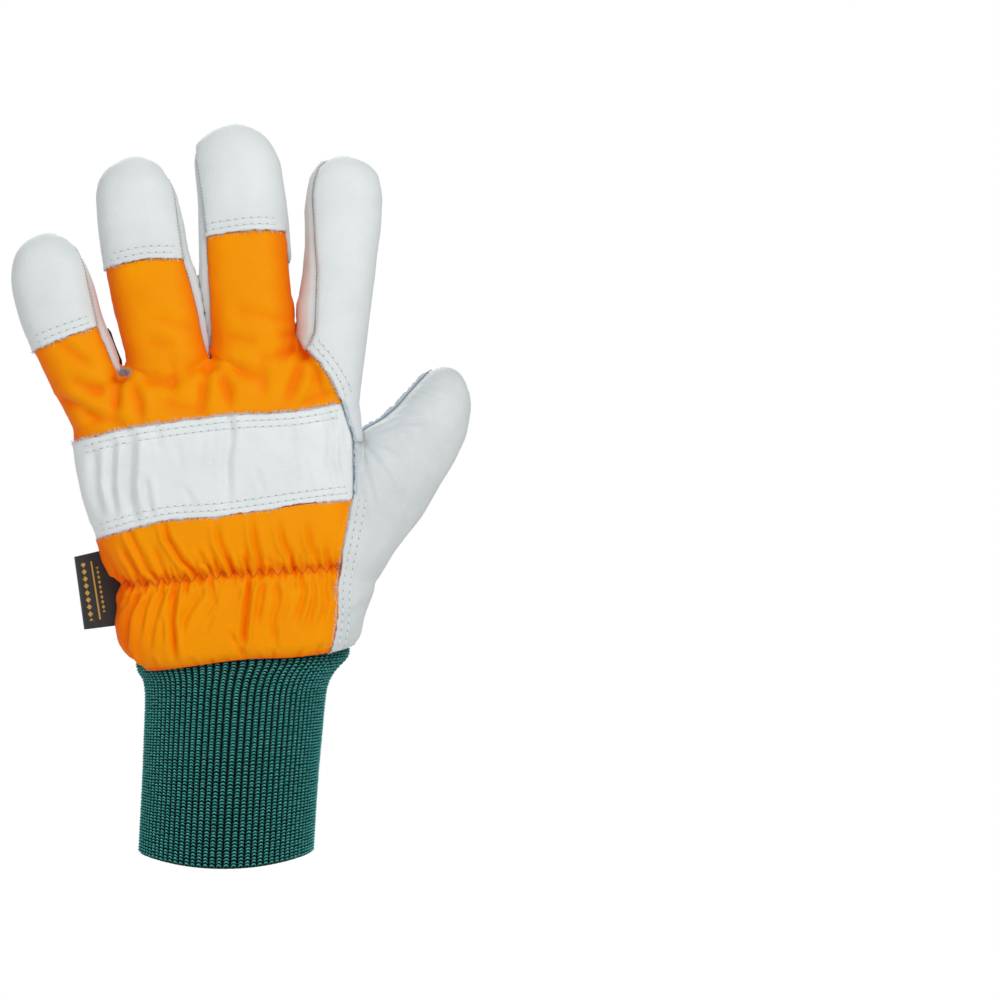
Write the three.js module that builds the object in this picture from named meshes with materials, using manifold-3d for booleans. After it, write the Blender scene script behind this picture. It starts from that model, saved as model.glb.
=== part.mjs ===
// A left-hand winter work glove, upright as a hand fills it: leather palm, index finger, thumb and fingertips,
// a nylon back with a leather knuckle band and an elastic gather, and a long rib-knit cuff.
// Millimetres. +Z runs to the fingertips, +X to the thumb side, -Y is the back of the hand.
// The origin is the middle of the wrist opening, at the lowest point of the hem.
import * as THREE from "three";
import { mergeVertices } from "three/addons/utils/BufferGeometryUtils.js";
import Module from "manifold-3d";

const wasm = await Module();
wasm.setup();

// Main sizes of the hand and cuff
const palmWidth = 124;
const palmLength = 126;
const palmDepth = 48;
const cuffLength = 84;
const cuffWidth = 75;
const cuffDepth = 58;
// Walls and how far the pieces stand proud of each other
const wall = 2.4;
const knitWall = 1.8;
const ribHeight = 0.8;
const ribCount = 68;
const leatherStep = 0.8;
const seamGap = 0.3;
// Seams, folds and gathers
const weltWidth = 2.2;
const weltHeight = 1.4;
const seamForward = 1.5;
const thumbSeamForward = 4;
const padding = 1.6;
const thinnest = 1.2;
const foldDepth = 2.2;
const foldWidth = 9;
const gatherDepth = 1.2;
const gatherPitch = 8;
const gatherReach = 30;
// How the digits bend towards the palm
const fingerCurl = 14;
const thumbForward = 26;
// The cuff's tuck into the glove and how far its hem rises at the sides
const cuffTuck = 5;
const hemArc = 3.9;
// The leather patch on the cuff's palm side: its edges are shares of the cuff's width from the glove's axis
const patchWall = 1.4;
const patch = { left: -0.155, right: 0.23, topRight: 0.3, flareStart: 0.75, top: 0.99 };
// The woven loop in the side seam, its seat in shares of the palm and its turn in degrees
const labelReach = 14;
const labelHeight = 33;
const labelWall = 0.8;
const labelFold = 1;
const labelRoot = 12.4;
const labelSeat = { across: -0.405, up: 0.26, turn: -12 };
// The elastic line across the back, at its left and right ends, in shares of the palm's length
const elasticLine = { left: 0.29, right: 0.33 };
// The finest edge that a cut leaves
const smallest = 0.03;

// Each digit's size in millimetres, its root in shares of the palm, its lean in degrees towards the thumb,
// and its bow, the sideways bend of its middle, as a share of its width.
const digits = {
  pinky: { length: 74.6, width: 34, depth: 28, across: -0.46, up: 0.9, lean: -16.8, bow: -0.09 },
  ring: { length: 100.5, width: 36.4, depth: 29.5, across: -0.2085, up: 0.933, lean: -7.7, bow: -0.07 },
  middle: { length: 109, width: 38, depth: 30, across: 0.1195, up: 0.967, lean: -6.6, bow: -0.03 },
  index: { length: 97.9, width: 33, depth: 29, across: 0.346, up: 0.95, lean: 5.2, bow: 0.01 },
  thumb: { length: 102, width: 41, depth: 35, across: 0.357, up: 0.32, lean: 32.6, bow: 0.08 },
};

// Girth of a finger and of the thumb along their length, as shares of length, width and depth.
const fingerGirth = [
  { along: -0.3, width: 0.8, depth: 0.8 },
  { along: 0, width: 1.0, depth: 1.08 },
  { along: 0.3, width: 1, depth: 1.04 },
  { along: 0.6, width: 1.01, depth: 1 },
];
const thumbGirth = [
  { along: -0.12, width: 0.9, depth: 0.9 },
  { along: 0.1, width: 1.0, depth: 1.12 },
  { along: 0.32, width: 0.96, depth: 1.1 },
  { along: 0.5, width: 0.97, depth: 1.02 },
  { along: 0.68, width: 0.83, depth: 0.92 },
];

// The hand from the wrist seam to the finger crotches. Left and right are shares of the palm's width from the
// glove's axis, their heights shares of its length above the wrist, and depth a share of its depth.
const handRows = [
  { left: -0.32, leftUp: -0.025, right: 0.43, rightUp: 0.03, depth: 1.12 },
  { left: -0.383, leftUp: 0.105, right: 0.468, rightUp: 0.155, depth: 1.08 },
  { left: -0.388, leftUp: 0.25, right: 0.51, rightUp: 0.257, depth: 1.02 },
  { left: -0.437, leftUp: 0.394, right: 0.51, rightUp: 0.37, depth: 1 },
  { left: -0.496, leftUp: 0.557, right: 0.489, rightUp: 0.557, depth: 0.98 },
  { left: -0.531, leftUp: 0.721, right: 0.468, rightUp: 0.745, depth: 0.94 },
  { left: -0.553, leftUp: 0.83, right: 0.458, rightUp: 0.88, depth: 0.86 },
  { left: -0.53, leftUp: 0.926, right: 0.425, rightUp: 1.0, depth: 0.7 },
  { left: -0.48, leftUp: 0.982, right: 0.38, rightUp: 1.055, depth: 0.5 },
  { left: -0.4, leftUp: 1.01, right: 0.3, rightUp: 1.085, depth: 0.2 },
];

// The cuff from its hem upwards, as shares of the cuff's length, width and depth, then the tilt of the seam.
const cuffRows = [
  { up: 0, width: 1, depth: 1, shift: 0, tilt: 0 },
  { up: 0.5, width: 1.017, depth: 0.98, shift: 0.032, tilt: 0.3 },
  { up: 0.9, width: 1.07, depth: 0.93, shift: 0.067, tilt: 1 },
];

// Folds of the nylon and the band, running down and in from the crotches, as shares of the palm.
const folds = [
  { across: -0.36, up: 0.97, toAcross: -0.3, toUp: 0.84, deep: 1 },
  { across: -0.33, up: 0.93, toAcross: -0.14, toUp: 0.97, deep: 0.7 },
  { across: -0.06, up: 1.02, toAcross: -0.1, toUp: 0.86, deep: 1 },
  { across: -0.04, up: 1.0, toAcross: 0.12, toUp: 0.93, deep: 0.7 },
  { across: 0.26, up: 1.05, toAcross: 0.16, toUp: 0.88, deep: 1 },
  { across: 0.27, up: 1.02, toAcross: 0.37, toUp: 0.86, deep: 0.6 },
  { across: -0.5, up: 0.84, toAcross: -0.34, toUp: 0.88, deep: 0.6 },
  { across: -0.34, up: 0.76, toAcross: -0.38, toUp: 0.5, deep: 0.5 },
  { across: 0.02, up: 0.8, toAcross: 0.0, toUp: 0.54, deep: 0.4 },
  { across: 0.33, up: 0.84, toAcross: 0.36, toUp: 0.6, deep: 0.5 },
];

const across = new THREE.Vector3(1, 0, 0);
const palmward = new THREE.Vector3(0, 1, 0);
const farAway = 400;
const mix = THREE.MathUtils.lerp;
const clamp = THREE.MathUtils.clamp;
const bell = (value) => Math.exp(-value * value);

// A value of a table at a position between its rows, through a smooth curve.
function between(rows, column, position) {
  const at = clamp(position, 0, rows.length - 1);
  const row = Math.min(Math.floor(at), rows.length - 2);
  const near = (i) => rows[clamp(i, 0, rows.length - 1)][column];
  const t = at - row;
  const slopeIn = (near(row + 1) - near(row - 1)) / 2;
  const slopeOut = (near(row + 2) - near(row)) / 2;
  const rise = near(row + 1) - near(row);
  return near(row) + t * (slopeIn + t * (3 * rise - 2 * slopeIn - slopeOut + t * (slopeIn + slopeOut - 2 * rise)));
}

// Points of a rounded ring about a centre. Side is its width direction and front its depth direction.
function ring({ centre, side, front, halfWidth, halfDepth, squareness = 2.3 }, sides) {
  const bulge = (v) => Math.sign(v) * Math.abs(v) ** (2 / squareness);
  return Array.from({ length: sides }, (_, i) => {
    const turn = (2 * Math.PI * i) / sides;
    return centre
      .clone()
      .addScaledVector(side, halfWidth * bulge(Math.cos(turn)))
      .addScaledVector(front, halfDepth * bulge(Math.sin(turn)));
  });
}

function solidFromMesh(vertProperties, triVerts) {
  return new wasm.Manifold(new wasm.Mesh({ numProp: 3, vertProperties, triVerts }));
}

// A solid through rings of equal point counts, closed at both ends at the middle of the ring.
function loft(rings) {
  const sides = rings[0].length;
  const middle = (points) => points.reduce((sum, p) => sum.add(p), new THREE.Vector3()).divideScalar(sides);
  const points = [...rings.flat(), middle(rings[0]), middle(rings.at(-1))];
  const foot = points.length - 2;
  const head = points.length - 1;
  const top = (rings.length - 1) * sides;
  const faces = [];
  for (let j = 0; j < sides; j++) {
    const next = (j + 1) % sides;
    faces.push(foot, next, j, head, top + j, top + next);
    for (let low = 0; low < top; low += sides) {
      faces.push(low + j, low + next, low + sides + next, low + j, low + sides + next, low + sides + j);
    }
  }
  return solidFromMesh(new Float32Array(points.flatMap((p) => p.toArray())), new Uint32Array(faces));
}

function solidOf(geometry) {
  geometry.deleteAttribute("normal");
  geometry.deleteAttribute("uv");
  const merged = mergeVertices(geometry, 1e-4);
  return solidFromMesh(merged.attributes.position.array, new Uint32Array(merged.index.array));
}

const unite = (solids) => solids.reduce((sum, solid) => sum.add(solid));
// The main body of a solid, without loose crumbs and sealed pockets.
const mainBody = (solid) => solid.decompose().reduce((best, body) => (body.volume() > best.volume() ? body : best));
const wristHeight = cuffLength;
const onHand = (share, up) => new THREE.Vector2(share * palmWidth, wristHeight + up * palmLength);
const fingertipHeight = wristHeight + palmLength * digits.middle.up + digits.middle.length;
const curlStart = wristHeight + palmLength * 0.75;
const curlAt = (height) => fingerCurl * Math.max(0, (height - curlStart) / (fingertipHeight - curlStart)) ** 2;

// The picture-plane frame of a digit: its root, its direction and the direction across it.
function axisOf(digit) {
  const lean = THREE.MathUtils.degToRad(digit.lean);
  return {
    root: onHand(digit.across, digit.up),
    along: new THREE.Vector2(Math.sin(lean), Math.cos(lean)),
    side: new THREE.Vector2(Math.cos(lean), -Math.sin(lean)),
  };
}

// A point on a digit in the picture plane: across is a share of its half width, along a share of its length.
function onDigit(digit, share, along) {
  const axis = axisOf(digit);
  const bow = digit.bow * digit.width * Math.sin(Math.PI * clamp(along, 0, 1));
  return axis.root
    .clone()
    .addScaledVector(axis.along, along * digit.length)
    .addScaledVector(axis.side, (share * digit.width) / 2 + bow);
}

function centreOf(digit, along) {
  const point = onDigit(digit, 0, along);
  const forward = digit === digits.thumb ? thumbForward * Math.max(0, along) ** 1.6 : curlAt(point.y);
  return new THREE.Vector3(point.x, forward, point.y);
}

// A digit grown by a distance: its girth table up to the round of the tip, then half an ellipse.
function digitForm(digit, girth, grow, sides) {
  const tipStart = 1 - digit.width / 2 / digit.length;
  const last = girth.at(-1);
  const stations = girth.filter((row) => row.along < tipStart).map((row) => ({ ...row, round: 0 }));
  const tipSteps = [0, 0.4, 0.7, 0.9, 0.985];
  tipSteps.forEach((round) => stations.push({ ...last, along: mix(tipStart, 1, round), round }));
  const rings = stations.map((row) => {
    const nearby = 0.01;
    const tangent = centreOf(digit, row.along + nearby).sub(centreOf(digit, row.along - nearby)).normalize();
    const side = new THREE.Vector3().crossVectors(palmward, tangent).normalize();
    const front = new THREE.Vector3().crossVectors(tangent, side);
    const closing = Math.sqrt(1 - row.round ** 2);
    const centre = centreOf(digit, row.along).addScaledVector(tangent, grow * row.round);
    const halfWidth = ((row.width * digit.width) / 2 + grow) * closing;
    const halfDepth = ((row.depth * digit.depth) / 2 + grow) * closing;
    return ring({ centre, side, front, halfWidth, halfDepth }, sides);
  });
  return loft(rings);
}

// How far a point of the padded back stands out, less its folds and the gathers round the elastic.
function reliefAt(x, z) {
  const point = new THREE.Vector3(x, z, 0);
  const foldSum = folds.reduce((sum, fold) => {
    const from = onHand(fold.across, fold.up);
    const to = onHand(fold.toAcross, fold.toUp);
    const line = new THREE.Line3(new THREE.Vector3(from.x, from.y, 0), new THREE.Vector3(to.x, to.y, 0));
    const away = line.closestPointToPoint(point, true, new THREE.Vector3()).distanceTo(point);
    return sum - fold.deep * foldDepth * bell((2 * away) / foldWidth);
  }, 0);
  const elastic = onHand(0, mix(elasticLine.left, elasticLine.right, x / palmWidth + 0.5)).y;
  const fromElastic = (z - elastic) / gatherReach;
  const nearElastic = bell(1.4 * fromElastic);
  const pull = -gatherDepth * bell(6 * fromElastic);
  const gathers = nearElastic * gatherDepth * Math.cos((2 * Math.PI * x) / gatherPitch);
  return Math.max(thinnest - wall, padding + foldSum + pull + gathers);
}

// The hand grown by a distance. The back of the outer forms carries the folds and gathers.
function handForm(grow, sides, steps) {
  const rings = [];
  for (let step = 0; step <= steps; step++) {
    const position = (step / steps) * (handRows.length - 1);
    const value = (column) => between(handRows, column, position);
    const left = onHand(value("left"), value("leftUp"));
    const right = onHand(value("right"), value("rightUp"));
    const side = new THREE.Vector3(right.x - left.x, 0, right.y - left.y).normalize();
    const centre = new THREE.Vector3((left.x + right.x) / 2, 0, (left.y + right.y) / 2);
    centre.y = curlAt(centre.z);
    const halfWidth = left.distanceTo(right) / 2 + grow;
    const halfDepth = (value("depth") * palmDepth) / 2 + grow;
    const points = ring({ centre, side, front: palmward, halfWidth, halfDepth, squareness: 2.5 }, sides);
    if (grow >= 0) {
      points.forEach((p) => {
        const backness = clamp((2 * (centre.y - p.y)) / halfDepth, 0, 1);
        const fullness = clamp((2 * halfDepth) / palmDepth, 0, 1);
        p.y -= reliefAt(p.x, p.z) * backness * fullness;
      });
    }
    rings.push(points);
  }
  if (grow < 0) {
    // The hollow runs out through the wrist, clear of the cuff's tuck
    rings.unshift(rings[0].map((p) => p.clone().setZ(p.z - 4 * cuffTuck)));
  }
  return loft(rings);
}

// The hand alone, with sides and steps enough for its gathers.
const gatheredForm = (grow) => handForm(grow, 80, 22);

// The whole glove above the wrist seam, grown by a distance.
function gloveForm(grow) {
  const outer = grow >= 0;
  const fingerSides = outer ? 16 : 10;
  const fingers = [digits.pinky, digits.ring, digits.middle, digits.index];
  return mainBody(unite([
    handForm(grow, outer ? 32 : 20, outer ? 14 : 9),
    ...fingers.map((finger) => digitForm(finger, fingerGirth, grow, fingerSides)),
    digitForm(digits.thumb, thumbGirth, grow, outer ? 16 : 12),
  ]));
}

// The cuff as a smooth tube grown by a distance, or with its ribs when ribs is true.
function cuffForm(grow, ribs) {
  const sides = ribs ? ribCount * 2 : 32;
  const seamTilt = ((handRows[0].rightUp - handRows[0].leftUp) * palmLength) / 2;
  const makeRing = (centre, halfWidth, halfDepth, tilt, arc) => {
    const points = ring({ centre, side: across, front: palmward, halfWidth, halfDepth, squareness: 2.1 }, sides);
    return points.map((p, i) => {
      const out = ribs && i % 2 ? 1 - ribHeight / halfDepth : 1;
      const acrossShare = (p.x - centre.x) / halfWidth;
      const height = p.z + tilt * seamTilt * acrossShare + arc * hemArc * acrossShare ** 2;
      return new THREE.Vector3(mix(centre.x, p.x, out), p.y * out, height);
    });
  };
  const rings = cuffRows.map((row) => {
    const centre = new THREE.Vector3(row.shift * cuffWidth, 0, row.up * cuffLength);
    const halfWidth = (row.width * cuffWidth) / 2 + grow;
    return makeRing(centre, halfWidth, (row.depth * cuffDepth) / 2 + grow, row.tilt, 1 - row.up);
  });
  const wrist = handRows[0];
  const clearance = wall + seamGap;
  const tuckCentre = new THREE.Vector3(((wrist.left + wrist.right) / 2) * palmWidth, 0, wristHeight);
  const tuckWidth = ((wrist.right - wrist.left) * palmWidth) / 2 - clearance - seamGap + grow;
  const tuckDepth = (wrist.depth * palmDepth) / 2 - clearance - seamGap + grow;
  rings.push(makeRing(tuckCentre.clone().setZ(wristHeight - 1), tuckWidth, tuckDepth, 1, 0));
  rings.push(makeRing(tuckCentre.setZ(wristHeight + cuffTuck), tuckWidth, tuckDepth, 1, 0));
  return { solid: loft(rings), rings };
}

// Moves an outline's sides inwards by a distance, or outwards when it is negative, with mitred corners.
function inset(points, distance) {
  const turn = Math.sign(THREE.ShapeUtils.area(points));
  return points.map((point, i) => {
    const before = points.at(i - 1).clone().sub(point).normalize();
    const after = points[(i + 1) % points.length].clone().sub(point).normalize();
    const inBefore = new THREE.Vector2(before.y, -before.x).multiplyScalar(turn);
    const inAfter = new THREE.Vector2(-after.y, after.x).multiplyScalar(turn);
    const corner = inBefore.add(inAfter).normalize();
    const reach = distance / Math.max(0.3, corner.dot(inAfter));
    return point.clone().addScaledVector(corner, reach);
  });
}

// An outline in the picture plane, carried through the whole depth of the glove.
function prism(points, distance) {
  const shape = new THREE.Shape(inset(points, distance));
  const geometry = new THREE.ExtrudeGeometry(shape, { depth: 2 * farAway, bevelEnabled: false });
  return solidOf(geometry.rotateX(Math.PI / 2).translate(0, farAway, 0));
}

// Everything on the back's side of a surface that is curved along one direction of the picture plane.
function backOf(curve, root, direction) {
  const behind = [new THREE.Vector2(-farAway, farAway), new THREE.Vector2(-farAway, -farAway)];
  const shape = new THREE.Shape([...curve, ...behind]);
  const geometry = new THREE.ExtrudeGeometry(shape, { depth: 2 * farAway, bevelEnabled: false });
  const alongAxis = new THREE.Vector3(direction.x, 0, direction.y);
  const sideAxis = new THREE.Vector3().crossVectors(palmward, alongAxis);
  const placed = new THREE.Matrix4().makeBasis(palmward, alongAxis, sideAxis);
  placed.setPosition(new THREE.Vector3(root.x, 0, root.y).addScaledVector(sideAxis, -farAway));
  return solidOf(geometry.applyMatrix4(placed));
}

// The back of the hand and fingers, up to the seam along their sides, and the same for the thumb.
function handBack(shift) {
  const curled = [0.2, 0.4, 0.6, 0.8, 1, 1.2].map((share) => mix(curlStart, fingertipHeight, share));
  const heights = [-farAway, curlStart, ...curled];
  const curve = heights.map((height) => new THREE.Vector2(curlAt(height) + seamForward + shift, height));
  curve.push(new THREE.Vector2(curve.at(-1).x, farAway));
  return backOf(curve, new THREE.Vector2(), new THREE.Vector2(0, 1));
}

function thumbBack(shift) {
  const { thumb } = digits;
  const axis = axisOf(thumb);
  const seamAt = (along) => centreOf(thumb, along).y + thumbSeamForward + shift;
  const curve = [-0.2, 0.2, 0.4, 0.6, 0.8, 1, 1.2].map((t) => new THREE.Vector2(seamAt(t), t * thumb.length));
  curve.unshift(new THREE.Vector2(seamAt(0), -farAway));
  curve.push(new THREE.Vector2(curve.at(-1).x, farAway));
  return backOf(curve, axis.root, axis.along);
}

// The line midway between two neighbouring fingers at a height.
function gapBetween(leftFinger, rightFinger, height) {
  const edge = (finger, share) => {
    const axis = axisOf(finger);
    const along = (height - axis.root.y) / (axis.along.y * finger.length);
    return onDigit(finger, 0, along).x + (share * finger.width) / 2 / axis.along.y;
  };
  return new THREE.Vector2((edge(leftFinger, 1) + edge(rightFinger, -1)) / 2, height);
}

const gapHeights = [1.12, 1.25, 1.4, 1.6, 1.8, 2.1];
const gapLine = (left, right) => gapHeights.map((up) => gapBetween(left, right, wristHeight + up * palmLength));
const pinkyGap = gapLine(digits.pinky, digits.ring);
const ringGap = gapLine(digits.ring, digits.middle);
const indexGap = gapLine(digits.middle, digits.index);
const hand = (rows) => rows.map(([share, up]) => onHand(share, up));
const on = (digit, rows) => rows.map(([share, along]) => onDigit(digit, share, along));
const reversed = (points) => [...points].reverse();

// Crotches between the digits and the seam lines, each from left to right or from the fingertip down.
const pinkyCrotch = onHand(-0.354, 0.981);
const ringCrotch = onHand(-0.0555, 1.029);
const indexCrotch = onHand(0.267, 1.066);
const pinkyCapEdge = on(digits.pinky, [[-1.5, 0.37], [-0.3, 0.373], [0.6, 0.385]]);
const ringCapEdge = on(digits.ring, [[-0.99, 0.526], [0, 0.551], [0.78, 0.539]]);
const middleCapEdge = on(digits.middle, [[-0.84, 0.576], [0.12, 0.585], [0.88, 0.566]]);
const pinkySeamUpper = on(digits.pinky, [[0.5, 1.3], [0.56, 0.91], [0.6, 0.385]]);
const pinkySeamLower = on(digits.pinky, [[0.6, 0.385], [0.63, 0.347], [0.74, 0.129]]);
const ringSeamUpper = on(digits.ring, [[0.7, 1.3], [0.78, 0.86], [0.78, 0.539]]);
const ringSeamLower = on(digits.ring, [[0.78, 0.539], [0.8, 0.37], [0.98, 0.18]]);
const middleSeamUpper = on(digits.middle, [[-0.8, 1.3], [-0.91, 0.84], [-0.84, 0.576]]);
const middleSeamLower = on(digits.middle, [[-0.84, 0.576], [-0.95, 0.337], [-1, 0.18]]);
const indexSeam = on(digits.index, [
  [-0.3, 1.3], [-0.4, 1], [-0.77, 0.88], [-0.7, 0.72], [-0.5, 0.49], [-0.46, 0.22], [-0.58, 0.15],
]);
const indexEdge = hand([[0.326, 1.018], [0.374, 0.943], [0.392, 0.885]]);
const bandTop = hand([
  [-0.75, 0.7], [-0.537, 0.749], [-0.333, 0.797], [-0.014, 0.84], [0.229, 0.855], [0.392, 0.885],
]);
const bandBottom = hand([
  [-0.7, 0.35], [-0.451, 0.428], [-0.222, 0.489], [-0.01, 0.506], [0.284, 0.547], [0.4334, 0.564],
]);
const bandSide = hand([[0.392, 0.885], [0.416, 0.81], [0.43, 0.752], [0.4334, 0.564]]);
const lowerSide = hand([
  [0.4334, 0.564], [0.4195, 0.489], [0.395, 0.373], [0.378, 0.2675], [0.3745, 0.162], [0.357, 0.04],
]);
const weltLine = hand([
  [-0.354, 0.98], [-0.325, 0.953], [-0.25, 0.943], [-0.0555, 0.98], [0.13, 1], [0.21, 1.03], [0.267, 1.066],
]);
// Shares of the palm that lie below the wrist, under the knuckles, and beyond the hand
const belowWrist = -0.35;
const underKnuckles = 0.85;
const farHand = 1.5;

const outlines = {
  pinky_cap: [...pinkyCapEdge, ...reversed(pinkySeamUpper.slice(0, -1)), onDigit(digits.pinky, -1.5, 1.3)],
  pinky_side: [...pinkySeamUpper, ...pinkySeamLower.slice(1), pinkyCrotch, ...pinkyGap.slice(0, 4)],
  ring_cap: [...ringCapEdge, ...reversed(ringSeamUpper.slice(0, -1)), ...reversed(pinkyGap.slice(1))],
  middle_cap: [...middleCapEdge, ...indexGap.slice(1), ...middleSeamUpper.slice(0, -1)],
  index_side: [...indexSeam, onHand(0.281, 1.073), indexCrotch, ...indexGap],
  back_upper: [
    ...pinkyCapEdge,
    ...pinkySeamLower.slice(1),
    pinkyCrotch,
    pinkyGap[0],
    ...ringCapEdge,
    ...ringSeamLower.slice(1),
    ringCrotch,
    ...reversed(middleSeamLower.slice(1)),
    ...middleCapEdge,
    indexGap[0],
    indexCrotch,
    ...indexEdge,
    ...reversed(bandTop.slice(0, -1)),
  ],
  knuckle_band: [...bandTop, ...bandSide.slice(1), ...reversed(bandBottom.slice(0, -1))],
  back_lower: [...bandBottom, ...lowerSide.slice(1), ...hand([[0.35, belowWrist], [-farHand, belowWrist]])],
  thumb_back: [
    ...bandSide.slice(2),
    ...lowerSide.slice(1),
    ...hand([[0.35, belowWrist], [farHand, belowWrist], [farHand, 1.4], [0.9, 1.4], [0.669, 1.138]]),
    ...hand([[0.47, 0.8], [0.468, 0.752]]),
  ],
};
// All that the back pieces cover
const backOutline = [
  onHand(-farHand, belowWrist),
  onHand(-farHand, 2.2),
  ...indexSeam,
  onHand(0.281, 1.073),
  ...indexEdge,
  ...bandSide.slice(1),
  ...lowerSide.slice(1),
  onHand(0.35, belowWrist),
];
// The ring and middle fingers, whole and then less the strips on their sides that belong to their fronts
const weltRing = weltLine.slice(0, 4);
const weltMiddle = weltLine.slice(3);
const ringOutline = [...weltRing, ringCrotch, ...ringGap, ...reversed(pinkyGap)];
const middleOutline = [...weltMiddle, ...indexGap, ...reversed(ringGap), ringCrotch];
const bothOutline = [...weltLine, ...indexGap, ...reversed(pinkyGap)];
const ringBack = [
  onHand(-0.354, underKnuckles),
  onHand(-0.0555, underKnuckles),
  ringCrotch,
  ...reversed(ringSeamLower),
  ...reversed(ringSeamUpper.slice(0, -1)),
  ...reversed(pinkyGap),
];
const middleBack = [
  onHand(-0.0555, underKnuckles),
  onHand(0.3, underKnuckles),
  indexCrotch,
  ...indexGap,
  ...middleSeamUpper,
  ...middleSeamLower.slice(1),
  ringCrotch,
];

const half = seamGap / 2;
const hollow = gloveForm(-wall);
const outside = gloveForm(0);
const shell = outside.subtract(hollow);
const proudShell = gloveForm(leatherStep).subtract(hollow);
const handBackIn = handBack(-half);
const handBackOut = handBack(half);
const backPiece = (name, from) => from.intersect(prism(outlines[name], half)).intersect(handBackIn);

// A raw welt that stands on the surface along a line: a thin layer of the grown form under a narrow ribbon.
function welt(line, side) {
  const offset = (distance) =>
    line.map((point, i) => {
      const next = line[Math.min(i + 1, line.length - 1)];
      const before = line[Math.max(i - 1, 0)];
      const along = next.clone().sub(before).normalize();
      return point.clone().add(new THREE.Vector2(-along.y, along.x).multiplyScalar(distance));
    });
  const ribbon = [...offset(weltWidth / 2), ...reversed(offset(-weltWidth / 2))];
  const layer = gloveForm(weltHeight + seamGap).subtract(gloveForm(seamGap));
  return side(layer.intersect(prism(ribbon, 0)));
}

function makeCuff() {
  const { solid } = cuffForm(0, true);
  const { rings: innerRings } = cuffForm(-ribHeight - knitWall, false);
  const openEnds = innerRings.map((points) => points.map((p) => p.clone()));
  openEnds.unshift(openEnds[0].map((p) => p.clone().setZ(p.z - wall - hemArc)));
  openEnds.push(openEnds.at(-1).map((p) => p.clone().setZ(p.z + cuffTuck)));
  return solid.subtract(loft(openEnds));
}

function makePatch() {
  const layer = cuffForm(seamGap + patchWall, false).solid.subtract(cuffForm(seamGap, false).solid);
  const onCuff = (share, up) => new THREE.Vector2(share * cuffWidth, up * cuffLength);
  const outline = [
    onCuff(patch.left, 0),
    onCuff(patch.right, 0),
    onCuff(patch.right, patch.flareStart),
    onCuff(patch.topRight, patch.top),
    onCuff(patch.left, patch.top),
  ];
  const upright = [new THREE.Vector2(0, -farAway), new THREE.Vector2(0, farAway)];
  const palmHalf = prism(outline, 0).subtract(backOf(upright, new THREE.Vector2(), new THREE.Vector2(0, 1)));
  const rim = gloveForm(seamGap);
  return layer.intersect(palmHalf).subtract(rim);
}

// The folded loop: two layers joined at the outer edge, standing out of the side seam.
function makeLabel() {
  const outerHalf = labelWall + labelFold / 2;
  const inner = labelFold / 2;
  const shape = new THREE.Shape();
  shape.moveTo(labelRoot, -outerHalf);
  shape.lineTo(labelRoot, -inner);
  shape.lineTo(-labelReach + outerHalf, -inner);
  shape.absarc(-labelReach + outerHalf, 0, inner, -Math.PI / 2, Math.PI / 2, true);
  shape.lineTo(labelRoot, inner);
  shape.lineTo(labelRoot, outerHalf);
  shape.lineTo(-labelReach + outerHalf, outerHalf);
  shape.absarc(-labelReach + outerHalf, 0, outerHalf, Math.PI / 2, -Math.PI / 2, false);
  const geometry = new THREE.ExtrudeGeometry(shape, { depth: labelHeight, bevelEnabled: false, curveSegments: 4 });
  const seat = onHand(labelSeat.across, labelSeat.up);
  geometry.translate(0, 0, -labelHeight / 2).rotateY(THREE.MathUtils.degToRad(labelSeat.turn));
  geometry.translate(seat.x, seamForward, seat.y);
  return solidOf(geometry).subtract(gloveForm(seamGap)).subtract(gatheredForm(seamGap));
}

const middleFingers = prism(bothOutline, -half);
const palmOnly = shell
  .subtract(prism(backOutline, -half).intersect(handBackOut))
  .subtract(prism(outlines.thumb_back, -half).intersect(thumbBack(half)))
  .subtract(middleFingers);
const ringFront = shell
  .intersect(prism(ringOutline, half))
  .subtract(prism(ringBack, -half).intersect(handBackOut));
const middleFront = shell
  .intersect(prism(middleOutline, half))
  .subtract(prism(middleBack, -half).intersect(handBackOut));
const gathered = gatheredForm(0).subtract(hollow);
const onBack = (solid) => solid.intersect(handBackIn);
const onPalm = (solid) => solid.subtract(handBackOut);
const sideWeltLine = bandSide.map((point) => new THREE.Vector2(point.x + weltWidth / 2 + seamGap, point.y));
const thumbEdge = on(digits.thumb, [[-0.95, 0.52], [-0.92, 0.62], [-0.86, 0.72], [-0.78, 0.82], [-0.6, 0.92]]);

const pieces = {
  palm: palmOnly,
  ring_front: ringFront,
  middle_front: middleFront,
  pinky_side: backPiece("pinky_side", shell),
  index_side: backPiece("index_side", shell),
  pinky_cap: backPiece("pinky_cap", proudShell),
  ring_cap: backPiece("ring_cap", proudShell),
  middle_cap: backPiece("middle_cap", proudShell),
  back_upper: backPiece("back_upper", shell),
  knuckle_band: backPiece("knuckle_band", proudShell),
  back_lower: backPiece("back_lower", gathered),
  thumb_back: shell.intersect(prism(outlines.thumb_back, half)).intersect(thumbBack(-half)),
  thumb_welt: welt(thumbEdge, (solid) => solid.intersect(thumbBack(-half))),
  finger_welt: welt(weltLine, onPalm),
  side_welt: welt(sideWeltLine, onBack),
  cuff: makeCuff(),
  pulse_patch: makePatch(),
  side_label: makeLabel(),
};

const leather = { color: 0xdbe1e0, roughness: 0.62 };
const nylon = { color: 0xf58a05, roughness: 0.5 };
const knit = { color: 0x145f55, roughness: 0.85 };
const rawEdge = { color: 0xb9c6d0, roughness: 0.8 };
const woven = { color: 0x2b2926, roughness: 0.7 };
const finishes = {
  back_upper: nylon,
  back_lower: nylon,
  thumb_welt: rawEdge,
  finger_welt: rawEdge,
  side_welt: rawEdge,
  cuff: knit,
  side_label: woven,
};

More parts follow.
